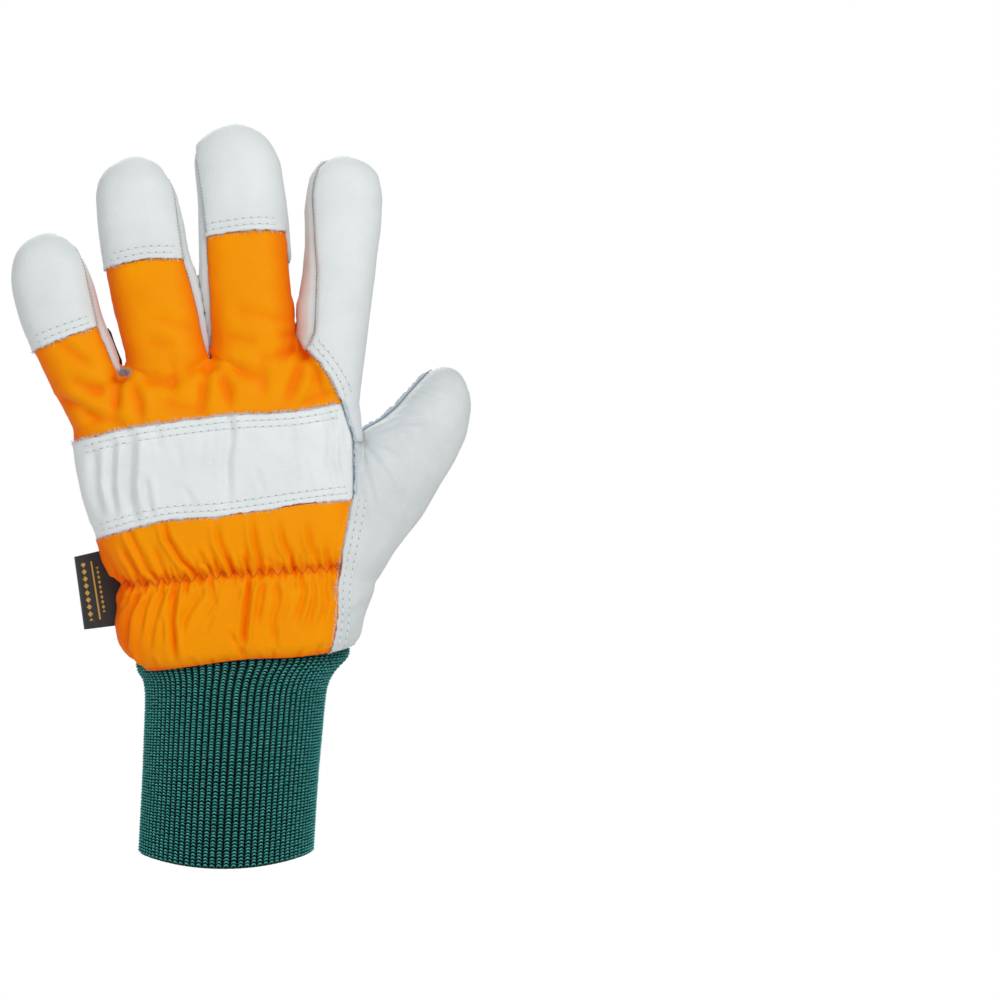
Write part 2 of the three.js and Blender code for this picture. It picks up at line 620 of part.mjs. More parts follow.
function meshOf(name, solid) {
  const { numProp, vertProperties, triVerts } = solid.getMesh();
  const geometry = new THREE.BufferGeometry();
  const packed = new THREE.InterleavedBuffer(vertProperties, numProp);
  geometry.setAttribute("position", new THREE.InterleavedBufferAttribute(packed, 3, 0));
  geometry.setIndex(new THREE.BufferAttribute(triVerts, 1));
  const mesh = new THREE.Mesh(geometry, new THREE.MeshStandardMaterial(finishes[name] ?? leather));
  mesh.name = name;
  return mesh;
}

const glove = new THREE.Group();
Object.entries(pieces).forEach(([name, solid]) => glove.add(meshOf(name, mainBody(solid.simplify(smallest)))));

export default glove;
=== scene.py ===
# A left-hand winter work glove, upright as a hand fills it: leather palm, index finger, thumb and fingertips,
# a padded nylon back with a leather knuckle band and an elastic gather, and a long rib-knit cuff.
# Metres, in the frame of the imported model: +Z to the fingertips, +X to the thumb, -Y is the back of the hand.
import math
import random

import bpy
import numpy as np
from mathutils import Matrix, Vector
from mathutils.bvhtree import BVHTree
from mathutils.kdtree import KDTree


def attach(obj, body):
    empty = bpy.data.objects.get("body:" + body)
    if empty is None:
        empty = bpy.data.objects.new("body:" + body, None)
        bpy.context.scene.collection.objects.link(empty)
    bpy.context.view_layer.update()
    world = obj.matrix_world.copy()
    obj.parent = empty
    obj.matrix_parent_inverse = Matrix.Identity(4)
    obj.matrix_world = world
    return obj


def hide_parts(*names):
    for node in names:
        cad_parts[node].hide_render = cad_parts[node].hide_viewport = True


print("loading the frame")
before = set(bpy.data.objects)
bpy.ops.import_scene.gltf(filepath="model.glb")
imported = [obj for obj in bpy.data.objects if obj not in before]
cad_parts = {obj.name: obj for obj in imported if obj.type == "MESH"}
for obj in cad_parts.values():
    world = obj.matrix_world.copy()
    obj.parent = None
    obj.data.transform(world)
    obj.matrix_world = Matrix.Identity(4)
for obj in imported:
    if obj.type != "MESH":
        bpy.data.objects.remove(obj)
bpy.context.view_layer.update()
bpy.ops.object.select_all(action="DESELECT")
scene = bpy.context.scene
mm = 0.001

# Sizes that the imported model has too
palm = {"width": 124 * mm, "length": 126 * mm, "depth": 48 * mm}
cuff = {"length": 84 * mm, "width": 75 * mm, "depth": 58 * mm, "wall": 1.8 * mm}
wrist = cuff["length"]
seam = {"forward": 1.5 * mm, "thumbForward": 4 * mm}
bend = {"fingers": 14 * mm, "thumb": 26 * mm}
leather = {"thick": 1.2 * mm, "proud": 0.9 * mm}

# Columns: length, width and depth in mm, its root across and up the palm as shares, lean in degrees, bow
digitSizes = {
    "pinky": (74.6, 34, 28, -0.46, 0.9, -16.8, -0.09),
    "ring": (100.5, 36.4, 29.5, -0.2085, 0.933, -7.7, -0.07),
    "middle": (109, 38, 30, 0.1195, 0.967, -6.6, -0.03),
    "index": (97.9, 33, 29, 0.346, 0.95, 5.2, 0.01),
    "thumb": (102, 41, 35, 0.357, 0.32, 32.6, 0.08),
}
digits = {}
for name, (length, width, depth, across, up, lean, bow) in digitSizes.items():
    digits[name] = {
        "length": length * mm, "width": width * mm, "depth": depth * mm, "across": across, "up": up,
        "lean": math.radians(lean), "bow": bow,
    }

# The outline of each digit: share of its length, then its left and its right edge as shares of half its width
digitEdges = {
    "pinky": (
        [(-0.3, -0.6), (-0.04, -0.77), (0.11, -0.82), (0.27, -0.88), (0.42, -0.93), (0.57, -0.97),
         (0.71, -0.98), (0.78, -0.95), (0.85, -0.86), (0.9, -0.74), (0.945, -0.54), (0.975, -0.26),
         (0.987, 0)],
        [(-0.3, 0.8), (0.13, 1.02), (0.27, 1.04), (0.42, 1.0), (0.57, 1.01), (0.64, 1.01), (0.72, 0.965),
         (0.79, 0.9), (0.86, 0.78), (0.94, 0.5), (0.975, 0.27), (0.987, 0.1)],
    ),
    "ring": (
        [(-0.3, -0.78), (0.12, -0.78), (0.33, -0.83), (0.43, -0.87), (0.54, -0.9), (0.65, -0.92),
         (0.75, -0.94), (0.85, -0.94), (0.905, -0.87), (0.945, -0.72), (0.972, -0.46), (0.99, -0.24),
         (1.001, -0.04)],
        [(-0.3, 1.0), (0.12, 1.16), (0.22, 1.2), (0.33, 1.21), (0.4, 1.2), (0.487, 1.18), (0.54, 1.13),
         (0.6, 1.08), (0.7, 1.05), (0.75, 1.01), (0.8, 0.98), (0.855, 0.91), (0.91, 0.77), (0.962, 0.52),
         (0.99, 0.25), (1.001, 0)],
    ),
    "middle": (
        [(-0.3, -0.9), (0.1, -1.03), (0.21, -1.01), (0.31, -1.025), (0.41, -1.05), (0.5, -1.03),
         (0.55, -1.0), (0.6, -0.97), (0.65, -0.945), (0.74, -0.915), (0.84, -0.93), (0.886, -0.93),
         (0.934, -0.87), (0.965, -0.7), (0.988, -0.46), (1.005, -0.22), (1.013, -0.05)],
        [(-0.3, 0.8), (0.12, 0.89), (0.2, 0.905), (0.27, 0.925), (0.365, 0.98), (0.46, 1.01), (0.56, 1.03),
         (0.65, 1.045), (0.7, 1.05), (0.75, 1.03), (0.8, 1.01), (0.85, 0.99), (0.9, 0.9), (0.95, 0.74),
         (0.98, 0.54), (1.003, 0.28), (1.013, 0.05)],
    ),
    "index": (
        [(-0.3, -0.75), (0.13, -0.84), (0.22, -0.9), (0.275, -0.935), (0.327, -0.955), (0.38, -0.96),
         (0.434, -0.945), (0.49, -0.925), (0.6, -0.925), (0.7, -0.98), (0.754, -1.02), (0.81, -1.01),
         (0.862, -0.98), (0.917, -0.93), (0.974, -0.72), (1.0, -0.45), (1.015, -0.1)],
        [(-0.3, 0.85), (0.09, 0.89), (0.3, 0.925), (0.41, 0.945), (0.517, 0.97), (0.6, 0.99),
         (0.68, 1.015), (0.785, 1.02), (0.84, 1.02), (0.892, 0.95), (0.944, 0.84), (0.975, 0.66),
         (0.993, 0.48), (1.015, 0.1)],
    ),
    "thumb": (
        [(-0.12, -0.9), (0.1, -1.0), (0.32, -1.04), (0.5, -1.15), (0.56, -1.16), (0.6, -1.06),
         (0.665, -0.9), (0.736, -0.77), (0.804, -0.69), (0.874, -0.6), (0.93, -0.52), (0.968, -0.4),
         (0.998, -0.14)],
        [(-0.12, 0.9), (0.1, 0.9), (0.225, 0.84), (0.32, 0.85), (0.405, 0.88), (0.535, 0.85),
         (0.66, 0.865), (0.76, 0.835), (0.853, 0.7), (0.905, 0.59), (0.966, 0.3), (0.998, 0.05)],
    ),
}
# Half the depth of a digit: share of its length, then of its depth
fingerDepth = [(-0.3, 0.8), (0, 1.08), (0.3, 1.04), (0.6, 1.0)]
thumbDepth = [(-0.12, 0.9), (0.1, 1.12), (0.32, 1.1), (0.5, 1.02), (0.68, 0.92)]

# The hand from below the wrist seam to the crotches: left, its height, right, its height, depth
handRows = [
    (-0.32, -0.025, 0.458, 0.03, 1.12),
    (-0.37, 0.105, 0.476, 0.155, 1.08),
    (-0.378, 0.25, 0.51, 0.257, 1.02),
    (-0.43, 0.394, 0.51, 0.37, 1.0),
    (-0.49, 0.557, 0.489, 0.557, 0.98),
    (-0.522, 0.721, 0.468, 0.745, 0.94),
    (-0.533, 0.83, 0.458, 0.88, 0.86),
    (-0.53, 0.926, 0.425, 1.0, 0.7),
    (-0.48, 0.982, 0.38, 1.055, 0.5),
    (-0.4, 1.01, 0.3, 1.085, 0.2),
]
# The cuff from its hem into the hand, in mm: left edge, its height, right edge, its height, half depth
cuffRows = [
    (-37.8, 3.4, 37.1, 3.6, 28.8), (-36.9, 20, 38.1, 20.5, 28.4), (-36.1, 36, 39.3, 37.5, 28),
    (-35.5, 52, 40.9, 55, 27.6), (-35.1, 63, 42.0, 67, 27.2), (-35.0, 71, 43.3, 75, 26.4),
    (-35.8, 77, 46.4, 81, 25.0), (-38.3, 81.5, 51.8, 86.9, 23.4), (-38.9, 86, 52.6, 91, 22.4),
]


# Values of a table at a position between its rows, through a smooth curve.
def smoothTable(rows, at):
    at = min(max(at, 0.0), len(rows) - 1.0)
    row = min(int(at), len(rows) - 2)
    t = at - row

    def near(i):
        return np.array(rows[min(max(i, 0), len(rows) - 1)], float)

    slopeIn = (near(row + 1) - near(row - 1)) / 2
    slopeOut = (near(row + 2) - near(row)) / 2
    rise = near(row + 1) - near(row)
    curve = 3 * rise - 2 * slopeIn - slopeOut + t * (slopeIn + slopeOut - 2 * rise)
    return near(row) + t * (slopeIn + t * curve)


# The picture plane: x and z of a point from shares of the palm, or from shares of a digit.
def onHand(share, up):
    return np.array([share * palm["width"], wrist + up * palm["length"]])


def onDigit(name, share, along):
    digit = digits[name]
    lean = digit["lean"]
    bow = digit["bow"] * digit["width"] * math.sin(math.pi * min(max(along, 0), 1))
    alongWay = np.array([math.sin(lean), math.cos(lean)]) * along * digit["length"]
    sideWay = np.array([math.cos(lean), -math.sin(lean)]) * (share * digit["width"] / 2 + bow)
    return onHand(digit["across"], digit["up"]) + alongWay + sideWay


tipHeight = wrist + palm["length"] * digits["middle"]["up"] + digits["middle"]["length"]
curlStart = wrist + palm["length"] * 0.75


def curlAt(height):
    return bend["fingers"] * np.maximum(0, (height - curlStart) / (tipHeight - curlStart)) ** 2


def centreOf(name, along):
    x, z = onDigit(name, 0, along)
    forward = bend["thumb"] * max(0, along) ** 1.6 if name == "thumb" else curlAt(z)
    return np.array([x, forward, z])


def unit(vector):
    return vector / np.linalg.norm(vector)


# Shares across and forward on a ring at some turns. Squareness 2 is an ellipse, and more fills the corners.
def roundAt(turns, squareness):
    return [np.sign(v) * np.abs(v) ** (2 / squareness) for v in (np.cos(turns), np.sin(turns))]


def ringOf(centre, side, front, halfWidth, halfDepth, squareness, sides):
    x, y = roundAt(np.linspace(0, 2 * math.pi, sides, endpoint=False), squareness)
    return centre + np.outer(halfWidth * x, side) + np.outer(halfDepth * y, front)


palmward = np.array([0.0, 1.0, 0.0])
digitSquareness = 2.3
handSquareness = 2.5
# Where the rings of a fingertip lie, as shares of its round part
tipShares = (0.15, 0.3, 0.45, 0.6, 0.7, 0.78, 0.85, 0.9, 0.94, 0.97, 1)


# The cross-section of a digit: its middle, the ways sideways and forward, half its width and half its depth.
def digitSection(name, along):
    digit = digits[name]
    leftEdge, rightEdge = (np.array(edge) for edge in digitEdges[name])
    depths = np.array(thumbDepth if name == "thumb" else fingerDepth)
    tipStart = 1 - digit["width"] / 2 / digit["length"]
    tip = leftEdge[-1, 0]
    closing = math.sqrt(1 - np.clip((along - tipStart) / (tip - tipStart), 0, 0.99) ** 2)
    tangent = unit(centreOf(name, along + 0.01) - centreOf(name, along - 0.01))
    side = unit(np.cross(palmward, tangent))
    left = np.interp(along, leftEdge[:, 0], leftEdge[:, 1]) * digit["width"] / 2
    right = np.interp(along, rightEdge[:, 0], rightEdge[:, 1]) * digit["width"] / 2
    halfDepth = np.interp(along, depths[:, 0], depths[:, 1]) * digit["depth"] / 2 * closing
    middle = centreOf(name, along) + side * (left + right) / 2
    return middle, side, np.cross(tangent, side), (right - left) / 2, halfDepth


def digitRings(name, sides=56):
    tipStart = 1 - digits[name]["width"] / 2 / digits[name]["length"]
    root, tip = digitEdges[name][0][0][0], digitEdges[name][0][-1][0]
    stations = list(np.linspace(root, tipStart, 30))
    stations += [tipStart + (tip - tipStart) * share for share in tipShares]
    return [ringOf(*digitSection(name, along), digitSquareness, sides) for along in stations]


def handRings(sides=120, steps=60):
    rings = []
    for step in range(steps + 1):
        left, leftUp, right, rightUp, depth = smoothTable(handRows, step / steps * (len(handRows) - 1))
        a, b = onHand(left, leftUp), onHand(right, rightUp)
        side = unit(np.array([b[0] - a[0], 0, b[1] - a[1]]))
        centre = np.array([(a[0] + b[0]) / 2, curlAt((a[1] + b[1]) / 2), (a[1] + b[1]) / 2])
        halfWidth, halfDepth = np.linalg.norm(b - a) / 2, depth * palm["depth"] / 2
        rings.append(ringOf(centre, side, palmward, halfWidth, halfDepth, handSquareness, sides))
    return [rings[0] - np.array([0, 0, 14 * mm])] + rings


def closedLoft(rings):
    sides = len(rings[0])
    points = np.concatenate(list(rings) + [rings[0].mean(axis=0)[None], rings[-1].mean(axis=0)[None]])
    foot, head, top = len(points) - 2, len(points) - 1, (len(rings) - 1) * sides
    faces = []
    for j in range(sides):
        k = (j + 1) % sides
        faces += [(foot, k, j), (head, top + j, top + k)]
        faces += [(low + j, low + k, low + sides + k, low + sides + j) for low in range(0, top, sides)]
    return points, faces


def newObject(name, points, faces):
    mesh = bpy.data.meshes.new(name)
    mesh.from_pydata([tuple(p) for p in points], [], [tuple(int(i) for i in f) for f in faces])
    mesh.update()
    made = bpy.data.objects.new(name, mesh)
    scene.collection.objects.link(made)
    return made


def makeActive(thing):
    bpy.ops.object.select_all(action="DESELECT")
    thing.select_set(True)
    bpy.context.view_layer.objects.active = thing


def applyModifier(thing, kind, **settings):
    makeActive(thing)
    modifier = thing.modifiers.new(kind.title(), kind)
    for key, value in settings.items():
        setattr(modifier, key, value)
    bpy.ops.object.modifier_apply(modifier=modifier.name)


def pointsOf(mesh):
    flat = np.empty(len(mesh.vertices) * 3)
    mesh.vertices.foreach_get("co", flat)
    return flat.reshape(-1, 3)


def normalsOf(mesh):
    flat = np.empty(len(mesh.vertices) * 3, np.float32)
    mesh.vertex_normals.foreach_get("vector", flat)
    return flat.reshape(-1, 3).astype(float)


def bell(value):
    return np.exp(-value * value)


# Smooth random heights between -1 and 1 that repeat exactly on each run.
def noiseAt(points, size, seed=0):
    q = points / size + np.array([seed * 17.31, seed * 5.77, seed * 11.13])
    cell = np.floor(q).astype(np.int64)
    t = q - cell
    t = t * t * (3 - 2 * t)
    total = np.zeros(len(points))
    for corner in np.ndindex(*(2,) * points.shape[1]):
        c = cell + np.array(corner)
        code = (c * np.array([374761393, 668265263, 1274126177])[: points.shape[1]]).sum(axis=1)
        code = (code ^ (code >> 13)) * 1103515245
        code = (code ^ (code >> 16)) & 0xFFFF
        weight = np.prod(np.where(np.array(corner), t, 1 - t), axis=1)
        total += weight * (code / 32767.5 - 1)
    return total


def layeredNoise(points, size, seed=0):
    return noiseAt(points, size, seed) * 0.65 + noiseAt(points, size * 0.47, seed + 3) * 0.35


print("building the form of the glove")
former = {"voxel": (1.05 * mm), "smoothing": 6}


def buildFormer():
    points, faces = [], []
    lofts = [closedLoft(handRings())]
    lofts += [closedLoft(digitRings(name)) for name in digits]
    for ps, fs in lofts:
        start = len(points)
        points.extend(ps)
        faces.extend(tuple(i + start for i in f) for f in fs)
    whole = newObject("former", points, faces)
    applyModifier(whole, "REMESH", mode="VOXEL", voxel_size=former["voxel"])
    mesh = whole.data
    points = pointsOf(mesh)
    edges = np.empty(len(mesh.edges) * 2, np.int32)
    mesh.edges.foreach_get("vertices", edges)
    a, b = edges.reshape(-1, 2).T
    count = np.bincount(np.concatenate([a, b]), minlength=len(points))[:, None]

    def towardsNeighbours(ps, amount):
        total = np.stack([
            np.bincount(a, ps[b, k], len(ps)) + np.bincount(b, ps[a, k], len(ps)) for k in range(3)
        ], axis=1)
        return ps + amount * (total / count - ps)

    for _ in range(former["smoothing"]):
        points = towardsNeighbours(towardsNeighbours(points, 0.5), -0.52)
    mesh.vertices.foreach_set("co", points.ravel())
    mesh.update()
    faces = [tuple(p.vertices) for p in mesh.polygons]
    result = points, normalsOf(mesh), faces
    bpy.data.objects.remove(whole)
    return result


formPoints, formNormals, formFaces = buildFormer()
print("  points of the form:", len(formPoints))


# Seam lines in the picture plane, from left to right or from the fingertip down
def hand(rows):
    return [onHand(share, up) for share, up in rows]


def on(name, rows):
    return [onDigit(name, share, along) for share, along in rows]


# Halfway between the facing edges of two neighbouring digits at a height.
def gapBetween(leftName, rightName, height):
    def edgeAt(name, rows):
        edge, along, x = np.array(rows), 0.3, 0.0
        upright = math.cos(digits[name]["lean"]) * digits[name]["length"]
        for _ in range(4):
            x, z = onDigit(name, np.interp(along, edge[:, 0], edge[:, 1]), along)
            along += (height - z) / upright
        return x

    x = (edgeAt(leftName, digitEdges[leftName][1]) + edgeAt(rightName, digitEdges[rightName][0])) / 2
    return np.array([x, height])


def gapLine(left, right):
    return [gapBetween(left, right, wrist + up * palm["length"]) for up in (1.12, 1.25, 1.4, 1.6, 1.8, 2.1)]


pinkyGap = gapLine("pinky", "ring")
ringGap = gapLine("ring", "middle")
indexGap = gapLine("middle", "index")
pinkyCrotch = onHand(-0.354, 0.981)
ringCrotch = onHand(-0.0555, 1.029)
indexCrotch = onHand(0.267, 1.066)
pinkyCapEdge = on("pinky", [(-1.5, 0.358), (-0.9, 0.362), (-0.38, 0.375), (0.293, 0.383), (0.806, 0.39)])
ringCapEdge = on("ring", [(-0.99, 0.53), (-0.84, 0.546), (-0.454, 0.553), (0.147, 0.558), (0.94, 0.541)])
middleCapEdge = on("middle", [(-0.8, 0.583), (-0.271, 0.585), (0.301, 0.586), (0.977, 0.57)])
pinkySeamUpper = on("pinky", [
    (0.3, 1.3), (0.55, 0.939), (0.8, 0.834), (0.875, 0.736), (0.867, 0.62), (0.845, 0.503), (0.806, 0.39),
])
pinkySeamLower = on("pinky", [(0.806, 0.39), (0.802, 0.33), (0.82, 0.262), (0.816, 0.17), (0.82, 0.13)])
ringSeamUpper = on("ring", [(0.3, 1.3), (0.54, 0.973), (0.84, 0.852), (0.9, 0.69), (0.94, 0.541)])
ringSeamLower = on("ring", [(0.94, 0.541), (1.02, 0.447), (1.06, 0.342), (1.075, 0.206), (1.09, 0.13)])
middleSeamUpper = on("middle", [
    (-0.7, 1.3), (-0.864, 0.889), (-0.818, 0.787), (-0.795, 0.708), (-0.8, 0.583),
])
middleSeamLower = on("middle", [
    (-0.8, 0.583), (-0.835, 0.506), (-0.864, 0.395), (-0.894, 0.311), (-0.96, 0.2), (-1, 0.14),
])
indexSeam = on("index", [
    (-0.2, 1.3), (-0.35, 1.02), (-0.58, 0.975), (-0.74, 0.946), (-0.82, 0.887), (-0.84, 0.819),
    (-0.76, 0.722), (-0.69, 0.634), (-0.562, 0.489), (-0.508, 0.343), (-0.464, 0.22), (-0.58, 0.152),
])
indexEdge = hand([(0.326, 1.018), (0.374, 0.943), (0.392, 0.885)])
bandTop = hand([
    (-0.75, 0.7), (-0.537, 0.749), (-0.333, 0.797), (-0.014, 0.84), (0.229, 0.855), (0.392, 0.885),
])
bandBottom = hand([
    (-0.7, 0.35), (-0.451, 0.428), (-0.222, 0.489), (-0.01, 0.506), (0.284, 0.547), (0.4334, 0.564),
])
bandSide = hand([(0.392, 0.885), (0.416, 0.81), (0.43, 0.752), (0.4334, 0.564)])
lowerSide = hand([
    (0.4334, 0.564), (0.4195, 0.489), (0.395, 0.373), (0.378, 0.2675), (0.3745, 0.162), (0.357, 0.04),
])
weltLine = hand([
    (-0.354, 0.98), (-0.325, 0.953), (-0.25, 0.943), (-0.0555, 0.98), (0.13, 1), (0.21, 1.03),
    (0.267, 1.066),
])
belowWrist = -0.35
farHand = 1.5
indexRoot = onHand(0.281, 1.073)

outlines = {
    "pinky_cap": pinkyCapEdge + pinkySeamUpper[:-1][::-1] + [onDigit("pinky", -1.5, 1.3)],
    "pinky_side": pinkySeamUpper + pinkySeamLower[1:] + [pinkyCrotch] + pinkyGap[:4],
    "ring_cap": ringCapEdge + ringSeamUpper[:-1][::-1] + pinkyGap[1:][::-1],
    "middle_cap": middleCapEdge + indexGap[1:] + middleSeamUpper[:-1],
    "index_side": indexSeam + [indexRoot, indexCrotch] + indexGap,
    "back_upper": pinkyCapEdge + pinkySeamLower[1:] + [pinkyCrotch, pinkyGap[0]] + ringCapEdge
    + ringSeamLower[1:] + [ringCrotch] + middleSeamLower[1:][::-1] + middleCapEdge
    + [indexGap[0], indexCrotch] + indexEdge + bandTop[:-1][::-1],
    "knuckle_band": bandTop + bandSide[1:] + bandBottom[:-1][::-1],
    "back_lower": bandBottom + lowerSide[1:] + hand([(0.35, belowWrist), (-farHand, belowWrist)]),
    "thumb_back": bandSide[2:] + lowerSide[1:] + hand([
        (0.35, belowWrist), (farHand, belowWrist), (farHand, 1.4), (0.9, 1.4), (0.669, 1.138), (0.47, 0.8),
        (0.468, 0.752),
    ]),
    "back": hand([(-farHand, belowWrist), (-farHand, 2.2)]) + indexSeam + [indexRoot] + indexEdge
    + bandSide[1:] + lowerSide[1:] + [onHand(0.35, belowWrist)],
    "ring": weltLine[:4] + [ringCrotch] + ringGap + pinkyGap[::-1],
    "middle": weltLine[3:] + indexGap + ringGap[::-1] + [ringCrotch],
    "both": weltLine + indexGap + pinkyGap[::-1],
    "ring_back": hand([(-0.354, 0.85), (-0.0555, 0.85)]) + [ringCrotch] + ringSeamLower[::-1]
    + ringSeamUpper[:-1][::-1] + pinkyGap[::-1],
    "middle_back": hand([(-0.0555, 0.85), (0.3, 0.85)]) + [indexCrotch] + indexGap + middleSeamUpper
    + middleSeamLower[1:] + [ringCrotch],
}


# Distance to a line through points, all in the picture plane, how far along it the nearest place is as
# a share, and on which side of the line the point lies: 1 is left of its way.
def lineDistance(flat, line, closed=False):
    line = np.array(line)
    ends = np.roll(line, -1, axis=0) if closed else line[1:]
    starts = line if closed else line[:-1]
    best = np.full(len(flat), 1e9)
    where, side = np.zeros(len(flat)), np.zeros(len(flat))
    run = 0.0
    for a, b in zip(starts, ends):
        way = b - a
        length = np.linalg.norm(way)
        if length < 1e-9:
            continue
        t = np.clip(((flat - a) @ way) / length**2, 0, 1)
        away = np.linalg.norm(flat - a - t[:, None] * way, axis=1)
        closer = away < best
        best[closer] = away[closer]
        where[closer] = run + t[closer] * length
        offset = flat[closer] - a
        side[closer] = np.sign(way[0] * offset[:, 1] - way[1] * offset[:, 0])
        run += length
    return best, where / run, side


# Signed distance to an outline: negative inside.
def outlineField(flat, outline):
    corners = np.array(outline)
    inside = np.zeros(len(flat), bool)
    for a, b in zip(corners, np.roll(corners, -1, axis=0)):
        spans = (a[1] > flat[:, 1]) != (b[1] > flat[:, 1])
        rise = b[1] - a[1]
        if abs(rise) < 1e-12:
            continue
        crossing = a[0] + (flat[:, 1] - a[1]) / rise * (b[0] - a[0])
        inside ^= spans & (flat[:, 0] < crossing)
    away, *_ = lineDistance(flat, outline, closed=True)
    return np.where(inside, -away, away)


flatForm = formPoints[:, [0, 2]]
fields = {name: outlineField(flatForm, outline) for name, outline in outlines.items()}
backField = formPoints[:, 1] - curlAt(formPoints[:, 2]) - seam["forward"]
thumbLean = digits["thumb"]["lean"]
thumbRoot = onHand(digits["thumb"]["across"], digits["thumb"]["up"])
thumbWay = np.array([math.sin(thumbLean), math.cos(thumbLean)])
thumbAlong = (flatForm - thumbRoot) @ thumbWay / digits["thumb"]["length"]
thumbField = formPoints[:, 1] - bend["thumb"] * np.clip(thumbAlong, 0, 1.2) ** 1.6 - seam["thumbForward"]

# The edge of the glove over the cuff, on the back and on the palm: x and height in millimetres
wristEdge = {
    "back": [(-60, 85), (-47.3, 83.8), (-41.7, 83), (-38.4, 82), (-35, 81.4), (-30.5, 81.8), (-20.6, 83.1),
             (-1.7, 86.0), (10.3, 87.3), (27.1, 87.6), (44.3, 89.4), (56.3, 92.0), (70, 93)],
    "palm": [(-60, 88), (-39.6, 88.0), (-9.5, 88.2), (21.9, 89.9), (50.7, 92.0), (70, 93)],
}


def wristHeightAt(points):
    onBack, onPalm = [np.interp(points[:, 0], *(np.array(rows) * mm).T) for rows in wristEdge.values()]
    share = np.clip(0.5 + points[:, 1] / (30 * mm), 0, 1)
    return onBack * (1 - share) + onPalm * share


wristField = wristHeightAt(formPoints) - formPoints[:, 2]

# A torn leather edge wanders by this much, a sewn one does not
ragged = {"fine": 0.5 * mm, "wide": 0.5 * mm, "reach": 3 * mm}
raggedness = ragged["fine"] * noiseAt(formPoints, 1.3 * mm, 5)
raggedness += ragged["wide"] * noiseAt(formPoints, 7 * mm, 8)
tornLines = (pinkyCapEdge, ringCapEdge, middleCapEdge, bandTop, bandBottom, indexEdge, lowerSide)
toTorn = np.minimum.reduce([lineDistance(flatForm, line)[0] for line in tornLines])
raggedness *= bell(toTorn / ragged["reach"])


def both(*parts):
    return np.maximum.reduce(parts)


def either(*parts):
    return np.minimum.reduce(parts)


leatherOverNylon = either(
    fields["pinky_cap"], fields["ring_cap"], fields["middle_cap"], fields["knuckle_band"], -fields["back"]
)
# How far the nylon reaches below the leather sewn over it
tuckedUnder = 5 * mm


def underLeather(name, cover):
    return either(fields[name], both(fields[name] - tuckedUnder, cover))


panelFields = {
    "palm": both(
        -both(fields["back"] + raggedness, backField), -both(fields["thumb_back"], thumbField),
        -fields["both"], wristField,
    ),
    "ring_front": both(fields["ring"], -both(fields["ring_back"], backField)),
    "middle_front": both(fields["middle"], -both(fields["middle_back"], backField)),
    **{name: both(fields[name], backField) for name in ("pinky_side", "index_side")},
    **{name: both(fields[name] + raggedness, backField) for name in ("pinky_cap", "ring_cap", "middle_cap")},
    "back_upper": both(underLeather("back_upper", leatherOverNylon), backField),
    "knuckle_band": both(fields["knuckle_band"] + raggedness, backField),
    "back_lower": both(
        underLeather("back_lower", either(fields["knuckle_band"], fields["thumb_back"])),
        backField, wristField,
    ),
    "thumb_back": both(fields["thumb_back"] + raggedness, thumbField, wristField),
}


# The part of the form where a field is negative, cut along the field's zero line.
def cutPanel(field):
    near = np.array([min(field[list(f)]) < 0 for f in formFaces])
    kept = [formFaces[i] for i in np.flatnonzero(near)]
    used = np.unique([v for f in kept for v in f])
    renumber = np.full(len(formPoints), -1)
    renumber[used] = np.arange(len(used))
    kept = [tuple(int(renumber[v]) for v in f) for f in kept]
    points, normals, f = formPoints[used].copy(), formNormals[used].copy(), field[used].copy()
    ends = np.array([(face[i], face[(i + 1) % len(face)]) for face in kept for i in range(len(face))])
    ends = np.unique(np.sort(ends, axis=1), axis=0)
    a, b = ends.T
    crossing = (f[a] < 0) != (f[b] < 0)
    a, b = a[crossing], b[crossing]
    share = f[a] / (f[a] - f[b])
    # Points close to the line move onto it
    who = np.concatenate([a, b])
    other = np.concatenate([b, a])
    reach = np.concatenate([share, 1 - share])
    order = np.argsort(-reach)
    order = order[reach[order] < 0.3]
    moved, normalsMoved = points.copy(), normals.copy()
    close, far, part = who[order], other[order], reach[order, None]
    moved[close] = points[close] + part * (points[far] - points[close])
    normalsMoved[close] = normals[close] + part * (normals[far] - normals[close])
    f[close] = 0
    newPoints, newNormals, madeAt, faces = list(moved), list(normalsMoved), {}, []

    def crossingPoint(i, j):
        key = (min(i, j), max(i, j))
        if key not in madeAt:
            i, j = key
            t = f[i] / (f[i] - f[j])
            madeAt[key] = len(newPoints)
            newPoints.append(moved[i] + t * (moved[j] - moved[i]))
            newNormals.append(normalsMoved[i] + t * (normalsMoved[j] - normalsMoved[i]))
        return madeAt[key]

    for face in kept:
        values = [f[i] for i in face]
        if max(values) <= 0:
            if min(values) < 0:
                faces.append(face)
            continue
        if min(values) >= 0:
            continue
        corners = []
        for i, j in zip(face, face[1:] + face[:1]):
            if f[i] <= 0:
                corners.append(i)
            if f[i] * f[j] < 0:
                corners.append(crossingPoint(i, j))
        if len(corners) > 2:
            faces.append(tuple(corners))
    return largestPiece(np.array(newPoints), np.array(newNormals), faces)


